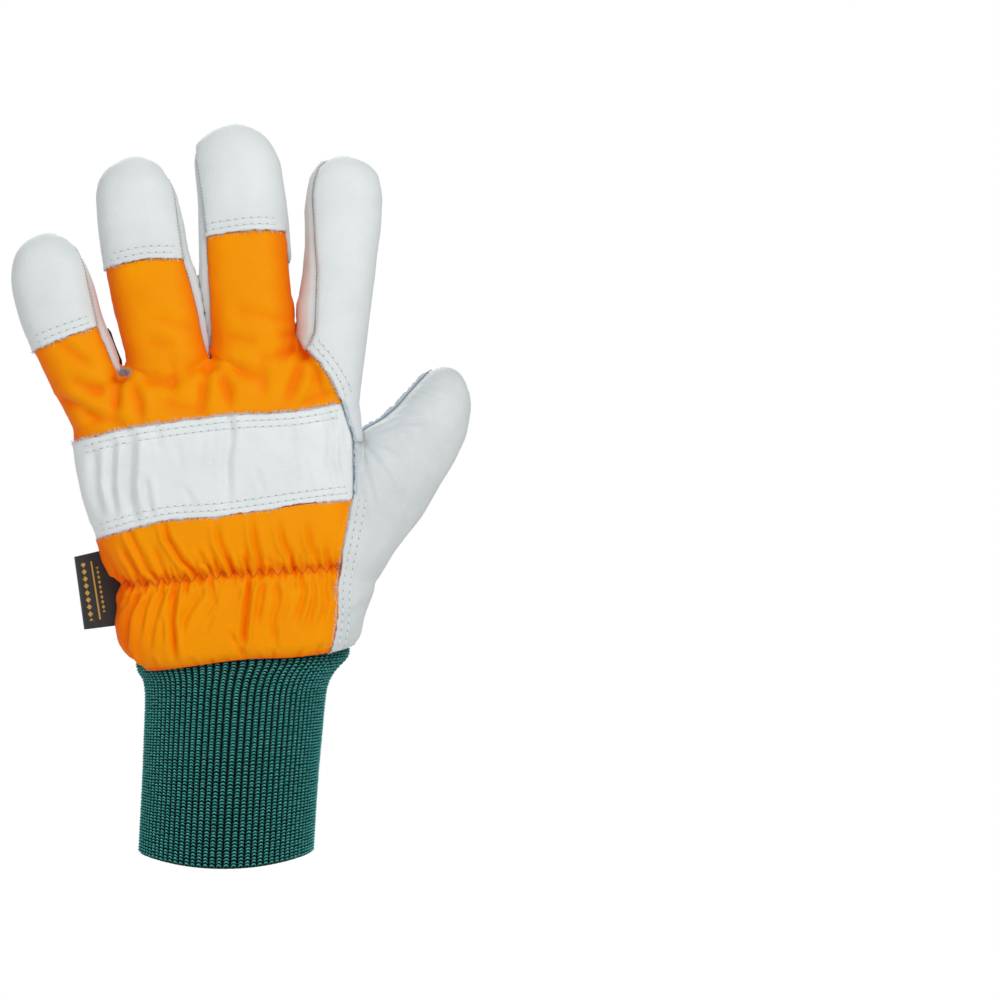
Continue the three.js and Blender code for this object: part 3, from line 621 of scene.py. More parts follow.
# Only the largest connected piece of a mesh, without unused points.
def largestPiece(points, normals, faces):
    label = np.arange(len(points))
    pairs = np.array([(face[i], face[(i + 1) % len(face)]) for face in faces for i in range(len(face))])
    a, b = pairs.T
    while True:
        lowest = np.minimum(label[a], label[b])
        update = label.copy()
        np.minimum.at(update, a, lowest)
        np.minimum.at(update, b, lowest)
        update = update[update]
        if (update == label).all():
            break
        label = update
    corners = np.array([face[0] for face in faces])
    names, counts = np.unique(label[corners], return_counts=True)
    main = names[np.argmax(counts)]
    faces = [face for face in faces if label[face[0]] == main]
    used = np.unique([v for face in faces for v in face])
    renumber = np.full(len(points), -1)
    renumber[used] = np.arange(len(used))
    return points[used], normals[used], [tuple(int(renumber[v]) for v in face) for face in faces]


def borderPoints(faces):
    seen = {}
    for face in faces:
        for i, j in zip(face, face[1:] + face[:1]):
            key = (i, j) if i < j else (j, i)
            seen[key] = seen.get(key, 0) + 1
    return sorted({v for key, count in seen.items() if count == 1 for v in key})


def distanceTo(points, places):
    if len(places) == 0:
        return np.full(len(points), 1.0)
    tree = KDTree(len(places))
    for i, place in enumerate(places):
        tree.insert(place, i)
    tree.balance()
    return np.array([tree.find(p)[2] for p in points])


# A fold is a valley with a ridge on its left and a lower one on its right, so it looks laid over. The places
# and widths of the ridges are shares of the fold's width.
ridge = {"high": 0.75, "at": 1.7, "lowHigh": 0.3, "lowAt": 1.8, "lowWide": 1.1}


# Folds: x and height of each point in millimetres, then depth and width.
def foldRelief(flat, folds):
    total = np.zeros(len(flat))
    for *path, deep, wide in folds:
        line = np.array(path).reshape(-1, 2) * mm
        reach = 5 * wide * mm
        near = ((flat > line.min(axis=0) - reach) & (flat < line.max(axis=0) + reach)).all(axis=1)
        away, where, side = lineDistance(flat[near], line)
        s = away * side / (wide * mm)
        fade = np.clip(where * 5 + 0.35, 0, 1) * np.clip((1 - where) * 3 + 0.1, 0, 1)
        valley = np.exp(0.22 - np.sqrt(s**2 + 0.05))
        ridges = ridge["high"] * bell(s - ridge["at"])
        ridges += ridge["lowHigh"] * bell((s + ridge["lowAt"]) / ridge["lowWide"])
        total[near] += deep * mm * fade * (ridges - valley)
    return total


# The nylon's long soft folds below the crotches, and the short ones across them
upperFolds = [
    (-43.9, 209, -46.5, 200, -47.5, 188, 2.4, 2.4), (-42, 207, -37, 196, -36, 186, 1.8, 2.2),
    (-44, 208, -60, 198, 1.2, 3.0), (-41, 206, -28, 204, -16, 201, 1.4, 3.0),
    (-6.9, 213, -10, 202, -11, 190, 2.4, 2.4), (-6, 213, 0, 202, 2, 192, 2.0, 2.4),
    (-7, 212, -16, 209, -28, 204, 1.3, 3.0), (-5, 212, 6, 209, 18, 205, 1.4, 3.0),
    (33, 220, 30, 208, 25, 194, 2.2, 2.6), (34, 218, 38, 208, 40, 200, 1.6, 2.2),
    (32, 219, 22, 216, 12, 212, 1.2, 3.0), (-66, 206, -60, 203, -48, 198, 1.3, 2.6),
    (-72, 222, -64, 216, -56, 210, 1.0, 2.4), (-70, 198, -62, 194, -54, 188, 1.3, 2.2),
    (-30, 232, -12, 226, 0.7, 3.0), (4, 236, 26, 230, 0.7, 3.0), (-28, 196, -4, 190, 0.9, 3.2),
    (44, 200, 38, 198, 28, 194, 1.1, 2.6), (-58, 190, -48, 188, -40, 184, 1.1, 2.4),
    (-24, 214, -22, 204, -24, 194, 0.9, 2.4), (14, 214, 16, 206, 14, 196, 0.9, 2.6),
    (-34, 222, -20, 219, 0.7, 2.6), (0, 224, 14, 221, 0.7, 2.6), (22, 224, 34, 226, 0.8, 2.2),
]
bandFolds = [
    (-55.4, 174, -54.8, 160, -51.6, 147, 2.1, 2.1), (-47.7, 178, -48.2, 162, -46.1, 147, 2.2, 1.8),
    (-40, 181, -40.6, 160, -38.4, 144, 3.4, 2.3), (-34.5, 164, -31.8, 147, 1.8, 1.6),
    (-30, 186, -28, 174, 0.7, 1.8), (0.3, 191, 1.7, 182, 0, 170, 0.6, 151, 1.9, 1.9),
    (40.1, 196, 43.9, 184, 43.3, 170, 47.2, 156, 1.7, 1.5), (46, 192, 47, 176, 49, 162, 0.9, 1.2),
    (26.5, 188, 29.1, 162, 0.5, 1.6), (12, 168, 16, 156, 0.5, 1.3), (-18, 160, -12, 149, 0.6, 1.2),
    (48.5, 190, 50, 172, 0.6, 1.0), (33, 170, 37, 154, 0.5, 1.2), (-10, 182, -11, 166, 0.35, 1.4),
    (-21, 178, -19, 166, 0.4, 1.5),
]
thumbCrotch = np.array([58, 182]) * mm
thumbFolds = [
    (58.5, 179, 67.1, 166.8, 71, 160, 77, 148, 0.8, 1.1), (60, 178, 68, 175.5, 77, 170.7, 0.6, 1.1),
    (57.5, 176, 61, 160, 65, 144, 0.6, 1.3), (62, 182, 74, 187, 88, 188, 0.7, 1.1),
    (64, 184, 74, 180, 84, 179, 0.4, 1.2), (57, 168, 59, 140, 0.4, 1.6), (66, 176, 84, 160, 0.35, 1.6),
    (50, 104, 60, 112, 0.5, 1.6), (76, 192, 84, 193, 0.4, 0.9), (80, 198, 86, 196, 0.35, 0.8),
    (72, 188, 80, 187, 0.35, 0.8),
]
palmFolds = [
    (20, 212, 30, 204, 40, 196, 57, 182, 1.9, 1.3), (23, 207, 34, 197, 46, 189, 1.0, 1.2),
    (-6, 207, 10, 195, 1.2, 1.4), (8, 196, 22, 188, 40, 183, 57, 180, 1.4, 1.4),
    (-46, 200, -36, 192, 0.8, 1.4), (33, 172, 37, 158, 36, 144, 1.3, 1.6),
    (40, 170, 44, 158, 46, 148, 1.2, 1.5), (46, 172, 52, 160, 54, 150, 1.0, 1.4),
    (52, 174, 60, 164, 66, 158, 0.9, 1.3), (29, 168, 31, 156, 30, 142, 0.9, 1.4),
    (-40, 192, -30, 178, 0.6, 1.5), (-52, 176, -44, 168, 0.6, 1.4), (-44, 119, -33, 105, 0.6, 1.4),
    (-33, 105, -22, 92, 0.6, 1.4), (-40, 106, -30, 93, 0.4, 1.2), (58, 181, 66, 168, 0.6, 1.4),
    (58, 181, 72, 176, 0.6, 1.2), (38, 150, 48, 136, 0.4, 1.8), (42, 158, 54, 140, 0.4, 1.8),
    (34, 138, 42, 122, 0.35, 1.8), (-2, 100, 4, 92, 0.3, 1.2), (20, 104, 26, 93, 0.4, 1.4),
    (34, 108, 42, 94, 0.4, 1.4), (-20, 150, 0, 146, 0.2, 2.4),
]
# Creases across the fingers on their palm side, at the joints and at the roots
fingerFolds = {
    "ring_front": [
        (-49, 264, -38, 260, -26, 262, 0.8, 1.8), (-46, 240, -34, 236, -18, 239, 0.6, 1.6),
        (-44, 218, -36, 212, -24, 211, 0.9, 1.3), (-12, 224, -18, 216, 0.6, 1.3),
    ],
    "middle_front": [
        (-8, 272, 6, 266, 18, 270, 0.9, 1.8), (-6, 246, 8, 241, 22, 245, 0.6, 1.6),
        (29, 232, 22, 224, 14, 221, 0.9, 1.3), (-5, 226, 4, 219, 0.6, 1.3),
    ],
}
elastic = [
    (-56, 117.6), (-47.3, 118.2), (-30.5, 119.5), (-6.0, 122.5), (10.3, 123.4), (31.0, 124.7), (47.3, 125.6),
    (56, 126),
]
# Pleats below the elastic and above it
lowerPleats = [
    (-43.8, 117.9, -45.0, 112.0, -46.3, 104.8, 1.3, 1.3),
    (-39.8, 117.5, -41.8, 111.2, -45.8, 103.2, 1.5, 1.3),
    (-35.1, 117.5, -40.5, 105.6, -41.8, 92.1, -38.1, 82.9, 2.2, 1.5),
    (-30.7, 117.5, -34.1, 108.8, -35.8, 96.8, 1.3, 1.3),
    (-26.1, 117.9, -30.1, 103.2, -32.3, 90.5, 1.6, 1.4),
    (-21.2, 119.5, -22.5, 103.2, -21.1, 82.9, 2.8, 1.4),
    (-11.2, 115.1, -16.8, 105.6, -20.6, 95.3, 1.4, 1.6), (-27.1, 104.8, -26.8, 93.7, 0.8, 1.4),
    (-15.6, 120.7, -17.6, 114.3, 1.2, 1.1), (-6.3, 119.9, -5.8, 111.2, -10.2, 101.6, 1.5, 1.3),
    (-3.2, 119.9, -4.5, 108.8, -9.4, 96.8, 1.0, 1.2), (9.8, 121.1, 8.1, 107.2, 6.3, 87.3, 3.0, 1.4),
    (1.5, 97.6, 7.5, 87.7, 1.2, 1.3), (3.9, 119.9, 4.7, 111.2, 0.9, 1.2),
    (15.2, 119.9, 14.3, 111.2, 12.3, 101.6, 1.4, 1.3),
    (20.8, 121.1, 21.6, 111.2, 19.4, 103.2, 20.6, 87.7, 1.7, 1.4), (25.5, 112.0, 20.6, 97.6, 1.1, 1.3),
    (31.9, 121.5, 32.7, 114.3, 28.2, 100.8, 1.7, 1.3), (36.5, 120.7, 35.9, 108.8, 32.5, 98.4, 1.3, 1.3),
    (40.0, 122.3, 41.5, 111.2, 38.5, 100.0, 1.3, 1.2), (43.7, 121.5, 45.4, 114.3, 1.0, 1.1),
    (-39.8, 88.9, -37.9, 82.5, 1.6, 1.1), (-31.1, 87.3, -28.7, 81.1, 1.0, 1.1),
    (-14.4, 86.5, -12.0, 82.1, 0.8, 1.1), (-6.3, 86.5, -5.9, 83.3, 1.0, 0.9),
    (-0.1, 87.3, 0.7, 84.1, 0.8, 1.0), (13.6, 88.9, 14.3, 85.7, 0.8, 1.0),
    (19.4, 90.5, 19.8, 86.5, 1.1, 0.9), (31.8, 90.5, 29.8, 86.3, 1.2, 1.1),
    (39.7, 92.9, 38.6, 88.1, 1.2, 1.1),
]
upperPleats = [
    (-41.0, 117.1, -46.2, 123.1, -52.2, 135.8, 1.6, 1.4),
    (-35.1, 118.7, -38.1, 125.5, -43.8, 136.6, 2.0, 1.4),
    (-27.1, 119.5, -32.7, 124.7, -39.0, 137.4, -43.8, 148.5, 1.8, 1.4),
    (-25.1, 119.9, -27.1, 125.5, -31.1, 135.8, 1.4, 1.3),
    (-11.0, 119.9, -14.7, 125.1, -19.1, 129.1, -24.7, 138.2, -27.5, 147.7, 2.6, 1.3),
    (-3.2, 122.7, -9.6, 127.9, -13.2, 135.0, 1.3, 1.2),
    (4.3, 121.9, 1.5, 126.7, -3.2, 136.2, -4.8, 146.2, 2.0, 1.4),
    (-0.1, 121.5, -4.0, 126.3, -8.0, 135.8, 1.2, 1.2), (10.4, 122.3, 8.8, 126.7, 7.1, 135.0, 1.3, 1.2),
    (14.7, 122.3, 13.9, 128.7, 11.7, 136.6, 10.3, 147.7, 2.0, 1.4), (20.6, 125.5, 17.0, 130.2, 1.0, 1.1),
    (29.5, 122.7, 27.1, 130.2, 23.8, 135.8, 21.4, 146.9, 1.9, 1.4), (32.9, 125.5, 30.2, 131.8, 1.1, 1.1),
    (39.9, 125.9, 37.5, 131.0, 34.9, 135.8, 33.3, 146.2, 1.6, 1.3),
    (45.4, 123.5, 42.9, 128.3, 41.1, 136.6, 1.6, 1.3), (-17.6, 119.1, -20.7, 123.1, 1.0, 1.0),
    (19.0, 122.3, 17.8, 127.1, 1.0, 1.0), (24.6, 123.1, 23.0, 127.9, 1.0, 1.0),
]
gather = {
    "pinches": 42, "seed": 11, "pinch": 2.0 * mm, "pinchWide": 2.4 * mm, "halfWide": 54,
    "puff": 1.9 * mm, "puffStart": 9 * mm, "puffReach": 34 * mm,
}


# The puff above and below the elastic, its pleats, and the short pinches right at its stitches.
def gatherRelief(flat):
    line = np.array(elastic) * mm
    level = np.interp(flat[:, 0], line[:, 0], line[:, 1])
    above = flat[:, 1] - level
    total = gather["puff"] * (1 - bell(above / gather["puffStart"])) * bell(above / gather["puffReach"])
    total -= gather["pinch"] * bell(above / gather["pinchWide"])
    dice = random.Random(gather["seed"])
    pinches = []
    for i in range(gather["pinches"]):
        x = gather["halfWide"] * (2 * (i + dice.uniform(0.2, 0.8)) / gather["pinches"] - 1)
        z = np.interp(x * mm, line[:, 0], line[:, 1]) / mm
        up, down = dice.uniform(4, 9), dice.uniform(4, 10)
        pinches.append((x, z, x - 0.3 * up, z + up, dice.uniform(0.5, 1.3), dice.uniform(0.7, 1.1)))
        pinches.append((x, z, x - 0.1 * down, z - down, dice.uniform(0.5, 1.3), dice.uniform(0.7, 1.1)))
    return total + foldRelief(flat, lowerPleats + upperPleats + pinches)


def shifted(line, distance):
    line = np.array(line)
    way = np.gradient(line, axis=0)
    way /= np.linalg.norm(way, axis=1)[:, None]
    return line + distance * np.stack([-way[:, 1], way[:, 0]], axis=1)


def resampled(line, pitch):
    line = np.array(line)
    run = np.concatenate([[0], np.cumsum(np.linalg.norm(np.diff(line, axis=0), axis=1))])
    at = np.arange(0, run[-1], pitch)
    return np.stack([np.interp(at, run, line[:, k]) for k in range(line.shape[1])], axis=1)


def smoothLine(line, pitch=2 * mm):
    line = np.array(line)
    count = (len(line) - 1) * 6
    dense = np.array([smoothTable(line, i / 6) for i in range(count + 1)])
    return resampled(dense, pitch)


# Double rows of stitches inside each raw edge: the edge's line and how far in the rows run
stitch = {"pitch": 3.3 * mm, "long": 2.3 * mm, "thick": 0.33 * mm, "hole": 0.27 * mm}
stitch["rows"] = (2.6 * mm, 5.4 * mm)
rawEdges = {
    "pinky_cap": [(smoothLine(pinkyCapEdge), 1)],
    "ring_cap": [(smoothLine(ringCapEdge), 1)],
    "middle_cap": [(smoothLine(middleCapEdge), 1)],
    "knuckle_band": [(smoothLine(bandTop), -1), (smoothLine(bandBottom), 1)],
    "palm": [(smoothLine([indexRoot] + indexEdge), 1)],
    "thumb_back": [(smoothLine(lowerSide), 1)],
}


def rowsOf(name):
    edges = rawEdges.get(name, [])
    return [shifted(line, side * inward) for line, side in edges for inward in stitch["rows"]]


# Fingers that touch from their crotch upwards: the line between them, and how far each side swells to meet it
touching = [
    ([gapBetween("ring", "middle", z * mm) for z in (211, 221, 231, 241, 256)], 0.95 * mm),
    ([gapBetween("middle", "index", z * mm) for z in (220, 228, 236, 242)], 0.7 * mm),
]
touchReach = 3.5 * mm
shape = {
    "dive": 1.0 * mm, "diveWidth": 1.3 * mm, "pad": 1.1 * mm, "liftReach": 9 * mm, "tucked": 1.0 * mm,
    "rowDent": 0.2 * mm, "rowWidth": 1.1 * mm, "crotchLift": 0.4 * mm, "crotchReach": 7 * mm,
}
hemRoll = {"nylon": 3.7 * mm, "leather": 2.4 * mm, "width": 3.2 * mm, "paintedShadeWidth": 1.3 * mm}
# Soft lumps: height, size and seed
lumps = {
    "padding": (0.35 * mm, 16 * mm, 2), "nylon": (0.4 * mm, 7 * mm, 4), "band": (0.15 * mm, 3.5 * mm, 4),
    "grain": (0.09 * mm, 2.6 * mm, 9),
}
panelFolds = {
    "back_upper": upperFolds, "knuckle_band": bandFolds, "thumb_back": thumbFolds, "palm": palmFolds,
    **fingerFolds,
}
# How far towards the palm the raw edges reach, and where the folds of the palm side begin
backLimit, palmStart = 8 * mm, 3 * mm


def lumpsOf(kind, points):
    high, size, seed = lumps[kind]
    return high * layeredNoise(points, size, seed)


# How deep a point of the nylon lies under the leather, in the picture plane: positive below it.
def coverDepth(flat):
    covers = ("pinky_cap", "ring_cap", "middle_cap", "knuckle_band", "thumb_back")
    over = np.minimum.reduce([outlineField(flat, outlines[n]) for n in covers])
    return -np.minimum(over, -outlineField(flat, outlines["back"]))


# The height of a panel over the form: seams dive in, raw edges lie on top, folds and lumps between them.
def panelRelief(name, points, normals, faces):
    flat = points[:, [0, 2]]
    edge = points[borderPoints(faces)]
    atWrist = np.abs(wristHeightAt(edge) - edge[:, 2]) < 0.8 * mm
    onRaw = np.zeros(len(edge), bool)
    for line, _ in rawEdges.get(name, []):
        away, *_ = lineDistance(edge[:, [0, 2]], line)
        onRaw |= (away < 1.3 * mm) & (edge[:, 1] < backLimit)
    nylon = name in ("back_upper", "back_lower")
    if nylon:
        onRaw |= coverDepth(edge[:, [0, 2]]) > 2 * mm
    turned = distanceTo(points, edge[~atWrist & ~onRaw])
    raw = distanceTo(points, edge[onRaw])
    hem = distanceTo(points, edge[atWrist])
    inCrotch = bell(np.linalg.norm(flat - thumbCrotch, axis=1) / shape["crotchReach"])
    inCrotch *= name in ("palm", "thumb_back")
    height = -shape["dive"] * bell(turned / shape["diveWidth"]) * (1 - inCrotch)
    height += shape["crotchLift"] * inCrotch
    height += shape["pad"] * np.clip(-1.5 * normals[:, 1] - 0.2, 0, 1)
    height -= hemRoll["nylon" if nylon else "leather"] * np.exp(-((hem / hemRoll["width"]) ** 1.5))
    height += lumpsOf("padding", points)
    if name in ("pinky_cap", "ring_cap", "middle_cap", "knuckle_band"):
        height += leather["proud"]
    elif name in ("palm", "thumb_back"):
        height += leather["proud"] * bell(raw / shape["liftReach"])
    if name in ("ring_front", "middle_front", "index_side", "back_upper"):
        for line, swell in touching:
            between, share, _ = lineDistance(flat, line)
            height += swell * bell(between / touchReach) * np.clip((1 - share) * 7, 0, 1)
    folds = gatherRelief(flat) if name == "back_lower" else foldRelief(flat, panelFolds.get(name, []))
    if name in ("palm", "ring_front", "middle_front"):
        folds *= points[:, 1] > palmStart
    if name == "knuckle_band":
        folds += lumpsOf("band", points)
    if name == "back_upper":
        height += lumpsOf("nylon", points)
    height += folds
    if name in ("palm", "thumb_back", "ring_front", "middle_front"):
        height += lumpsOf("grain", points)
    if nylon:
        # The hidden edge lies flat below the leather
        hidden = np.clip(coverDepth(flat) / (1.2 * mm) + 0.5, 0, 1)
        low = np.minimum(height, shape["pad"] * 0.5)
        height = height * (1 - hidden) + low * hidden - shape["tucked"] * hidden
    for row in rowsOf(name):
        away, *_ = lineDistance(flat, row)
        height -= shape["rowDent"] * bell(away / shape["rowWidth"]) * (points[:, 1] < backLimit)
    # Painted shade: the orange is tinted redder in creases, towards the sides and in the hem, where shade falls
    paintedShade = np.clip(-folds / (3 * mm), 0, 0.5) + np.clip((np.abs(normals[:, 0]) - 0.3) * 1.3, 0, 0.9)
    return height, turned, np.clip(paintedShade + 0.8 * bell(hem / hemRoll["paintedShadeWidth"]), 0, 1)


# A panel with each face split in four, for cloth with narrow folds.
def refine(points, normals, faces):
    piece = newObject("finer", points, faces)
    layer = piece.data.attributes.new("way", "FLOAT_VECTOR", "POINT")
    layer.data.foreach_set("vector", normals.ravel().astype(np.float32))
    applyModifier(piece, "SUBSURF", subdivision_type="SIMPLE", levels=1, render_levels=1)
    mesh = piece.data
    flat = np.empty(len(mesh.vertices) * 3, np.float32)
    mesh.attributes["way"].data.foreach_get("vector", flat)
    result = pointsOf(mesh), flat.reshape(-1, 3).astype(float), [tuple(p.vertices) for p in mesh.polygons]
    bpy.data.objects.remove(piece)
    return result


print("making the materials")


def makeMaterial(name, **constants):
    material = bpy.data.materials.new(name)
    material.use_nodes = True
    shader = material.node_tree.nodes["Principled BSDF"]
    for key, value in constants.items():
        shader.inputs[key].default_value = value
    return material, material.node_tree.nodes, material.node_tree.links, shader


# A node group with named inputs and outputs: (name, kind, default).
def makeGroup(name, inputs, outputs):
    group = bpy.data.node_groups.new(name, "ShaderNodeTree")
    for label, kind, default in inputs:
        socket = group.interface.new_socket(name=label, in_out="INPUT", socket_type=kind)
        if default is not None:
            socket.default_value = default
    for label, kind in outputs:
        group.interface.new_socket(name=label, in_out="OUTPUT", socket_type=kind)
    return group, group.nodes.new("NodeGroupInput"), group.nodes.new("NodeGroupOutput")


def mathNode(tree, operation, a, b=None):
    node = tree.nodes.new("ShaderNodeMath")
    node.operation = operation
    for socket, value in zip(node.inputs, (a, b)):
        if value is None:
            continue
        if isinstance(value, (int, float)):
            socket.default_value = value
        else:
            tree.links.new(value, socket)
    return node.outputs[0]


def noiseNode(tree, place, size, detail=2.0, roughness=0.5):
    node = tree.nodes.new("ShaderNodeTexNoise")
    node.inputs["Scale"].default_value = 1 / size
    node.inputs["Detail"].default_value = detail
    node.inputs["Roughness"].default_value = roughness
    tree.links.new(place, node.inputs["Vector"])
    return node.outputs["Fac"]


# Leather grain: fine pebbles, soft creases and hand dirt, from object coordinates.
def makeGrainGroup():
    group, start, end = makeGroup(
        "leatherGrain",
        [("Pebble", "NodeSocketFloat", 0.5), ("Crease", "NodeSocketFloat", 0.5)],
        [("Height", "NodeSocketFloat"), ("Mottle", "NodeSocketFloat"), ("Creases", "NodeSocketFloat")],
    )
    place = group.nodes.new("ShaderNodeTexCoord").outputs["Object"]
    cells = group.nodes.new("ShaderNodeTexVoronoi")
    cells.feature = "SMOOTH_F1"
    cells.inputs["Scale"].default_value = 1 / (0.9 * mm)
    group.links.new(place, cells.inputs["Vector"])
    pebble = mathNode(group, "MULTIPLY", cells.outputs["Distance"], start.outputs["Pebble"])
    wander = noiseNode(group, place, 6 * mm, 4, 0.6)
    line = mathNode(group, "ABSOLUTE", mathNode(group, "SUBTRACT", wander, 0.5))
    crease = mathNode(group, "SMOOTH_MIN", mathNode(group, "MULTIPLY", line, 14), 1.0)
    fine = noiseNode(group, place, 2.2 * mm, 3, 0.6)
    height = mathNode(group, "ADD", pebble, mathNode(group, "MULTIPLY", crease, start.outputs["Crease"]))
    height = mathNode(group, "ADD", height, mathNode(group, "MULTIPLY", fine, 0.6))
    mottle = noiseNode(group, place, 22 * mm, 3, 0.55)
    group.links.new(height, end.inputs["Height"])
    group.links.new(mottle, end.inputs["Mottle"])
    group.links.new(crease, end.inputs["Creases"])
    return group


grainGroup = makeGrainGroup()


def addGroup(nodes, group, **values):
    node = nodes.new("ShaderNodeGroup")
    node.node_tree = group
    for key, value in values.items():
        node.inputs[key].default_value = value
    return node


def blendColours(tree, factor, first, second):
    node = tree.nodes.new("ShaderNodeMix")
    node.data_type = "RGBA"
    tree.links.new(factor, node.inputs["Factor"])
    for socket, value in ((node.inputs[6], first), (node.inputs[7], second)):
        if isinstance(value, tuple):
            socket.default_value = (*value, 1)
        else:
            tree.links.new(value, socket)
    return node.outputs[2]


def addBump(material, shader, height, distance):
    bump = material.node_tree.nodes.new("ShaderNodeBump")
    bump.inputs["Distance"].default_value = distance
    bump.inputs["Strength"].default_value = 1.0
    material.node_tree.links.new(height, bump.inputs["Height"])
    material.node_tree.links.new(bump.outputs["Normal"], shader.inputs["Normal"])


def rangeNode(tree, value, low, high, outLow, outHigh):
    node = tree.nodes.new("ShaderNodeMapRange")
    for index, number in enumerate((low, high, outLow, outHigh), start=1):
        node.inputs[index].default_value = number
    tree.links.new(value, node.inputs[0])
    return node.outputs[0]


def attribute(tree, name):
    node = tree.nodes.new("ShaderNodeAttribute")
    node.attribute_name = name
    return node.outputs["Fac"]


# White full-grain leather: the first colour is its body, the second its shaded mottling.
def makeLeather(name, body, shade, bumpDepth):
    material, nodes, links, shader = makeMaterial(name)
    tree = material.node_tree
    shader.inputs["Specular IOR Level"].default_value = 0.35
    shader.inputs["Sheen Weight"].default_value = 0.08
    grain = addGroup(nodes, grainGroup, Pebble=0.5, Crease=0.35)
    mask = rangeNode(tree, grain.outputs["Mottle"], 0.35, 0.7, 0, 1)
    colour = blendColours(tree, mask, body, shade)
    # Darker towards the turned seams
    seamDarkening = rangeNode(tree, attribute(tree, "seamDistance"), 0.0, 2.2 * mm, 0.55, 0)
    colour = blendColours(tree, seamDarkening, colour, tuple(c * 0.62 for c in shade))
    links.new(colour, shader.inputs["Base Color"])
    links.new(rangeNode(tree, grain.outputs["Creases"], 0, 1, 0.62, 0.5), shader.inputs["Roughness"])
    addBump(material, shader, grain.outputs["Height"], bumpDepth)
    return material


# Fluorescent nylon: a plain weave on the surface, a satin gloss, a faint red glow of painted light, and painted
# shade as a redder orange in creases, at the sides and in the hem.
def makeNylon():
    material, nodes, links, shader = makeMaterial("orangeNylon")
    tree = material.node_tree
    shader.inputs["Specular IOR Level"].default_value = 0.05
    # Painted light: a faint red glow, so the orange stays red and bright where it lies in shade
    shader.inputs["Emission Color"].default_value = (1.0, 0.06, 0.0, 1)
    shader.inputs["Emission Strength"].default_value = 0.08
    place = nodes.new("ShaderNodeTexCoord").outputs["Object"]
    split = nodes.new("ShaderNodeSeparateXYZ")
    links.new(place, split.inputs[0])
    threads = 2 * math.pi / (0.7 * mm)
    wavesX = mathNode(tree, "SINE", mathNode(tree, "MULTIPLY", split.outputs["X"], threads))
    wavesZ = mathNode(tree, "SINE", mathNode(tree, "MULTIPLY", split.outputs["Z"], threads))
    weave = mathNode(tree, "MULTIPLY", mathNode(tree, "MULTIPLY", wavesX, wavesZ), 0.12)
    crinkle = noiseNode(tree, place, 5 * mm, 3, 0.55)
    height = mathNode(tree, "ADD", weave, crinkle)
    tone = rangeNode(tree, noiseNode(tree, place, 16 * mm, 2), 0.3, 0.7, 0, 1)
    dye = blendColours(tree, tone, (0.86, 0.322, 0.0006), (0.84, 0.292, 0.0005))
    # Painted shade: a redder orange in creases, towards the sides and in the hem
    colour = blendColours(tree, attribute(tree, "paintedShade"), dye, (0.82, 0.115, 0.0004))
    links.new(colour, shader.inputs["Base Color"])
    links.new(rangeNode(tree, crinkle, 0.3, 0.7, 0.42, 0.55), shader.inputs["Roughness"])
    addBump(material, shader, height, 0.25 * mm)
    return material


def makeKnit():
    material, nodes, links, shader = makeMaterial("greenKnit")
    tree = material.node_tree
    shader.inputs["Specular IOR Level"].default_value = 0.08
    place = nodes.new("ShaderNodeTexCoord").outputs["Object"]
    tone = rangeNode(tree, noiseNode(tree, place, 1.1 * mm, 2), 0.35, 0.65, 0, 1)
    yarn = blendColours(tree, tone, (0.05, 0.42, 0.38), (0.15, 0.66, 0.61))
    # Painted shade: the yarn darkens towards near black in the gaps between the ribs, at the ends and
    # undersides of the arches, and on the lining
    depth = rangeNode(tree, attribute(tree, "loopShade"), 0, 1, 0, 1)
    links.new(blendColours(tree, depth, (0.0003, 0.004, 0.004), yarn), shader.inputs["Base Color"])
    shader.inputs["Roughness"].default_value = 0.5
    fibre = noiseNode(tree, place, 0.35 * mm, 2)
    addBump(material, shader, fibre, 0.12 * mm)
    return material


def makePlain(name, body, shade, size, roughness, bumpDepth):
    material, nodes, links, shader = makeMaterial(name)
    tree = material.node_tree
    place = nodes.new("ShaderNodeTexCoord").outputs["Object"]
    fibre = noiseNode(tree, place, size, 3, 0.6)
    colour = blendColours(tree, rangeNode(tree, fibre, 0.3, 0.7, 0, 1), body, shade)
    links.new(colour, shader.inputs["Base Color"])
    shader.inputs["Roughness"].default_value = roughness
    addBump(material, shader, fibre, bumpDepth)
    return material


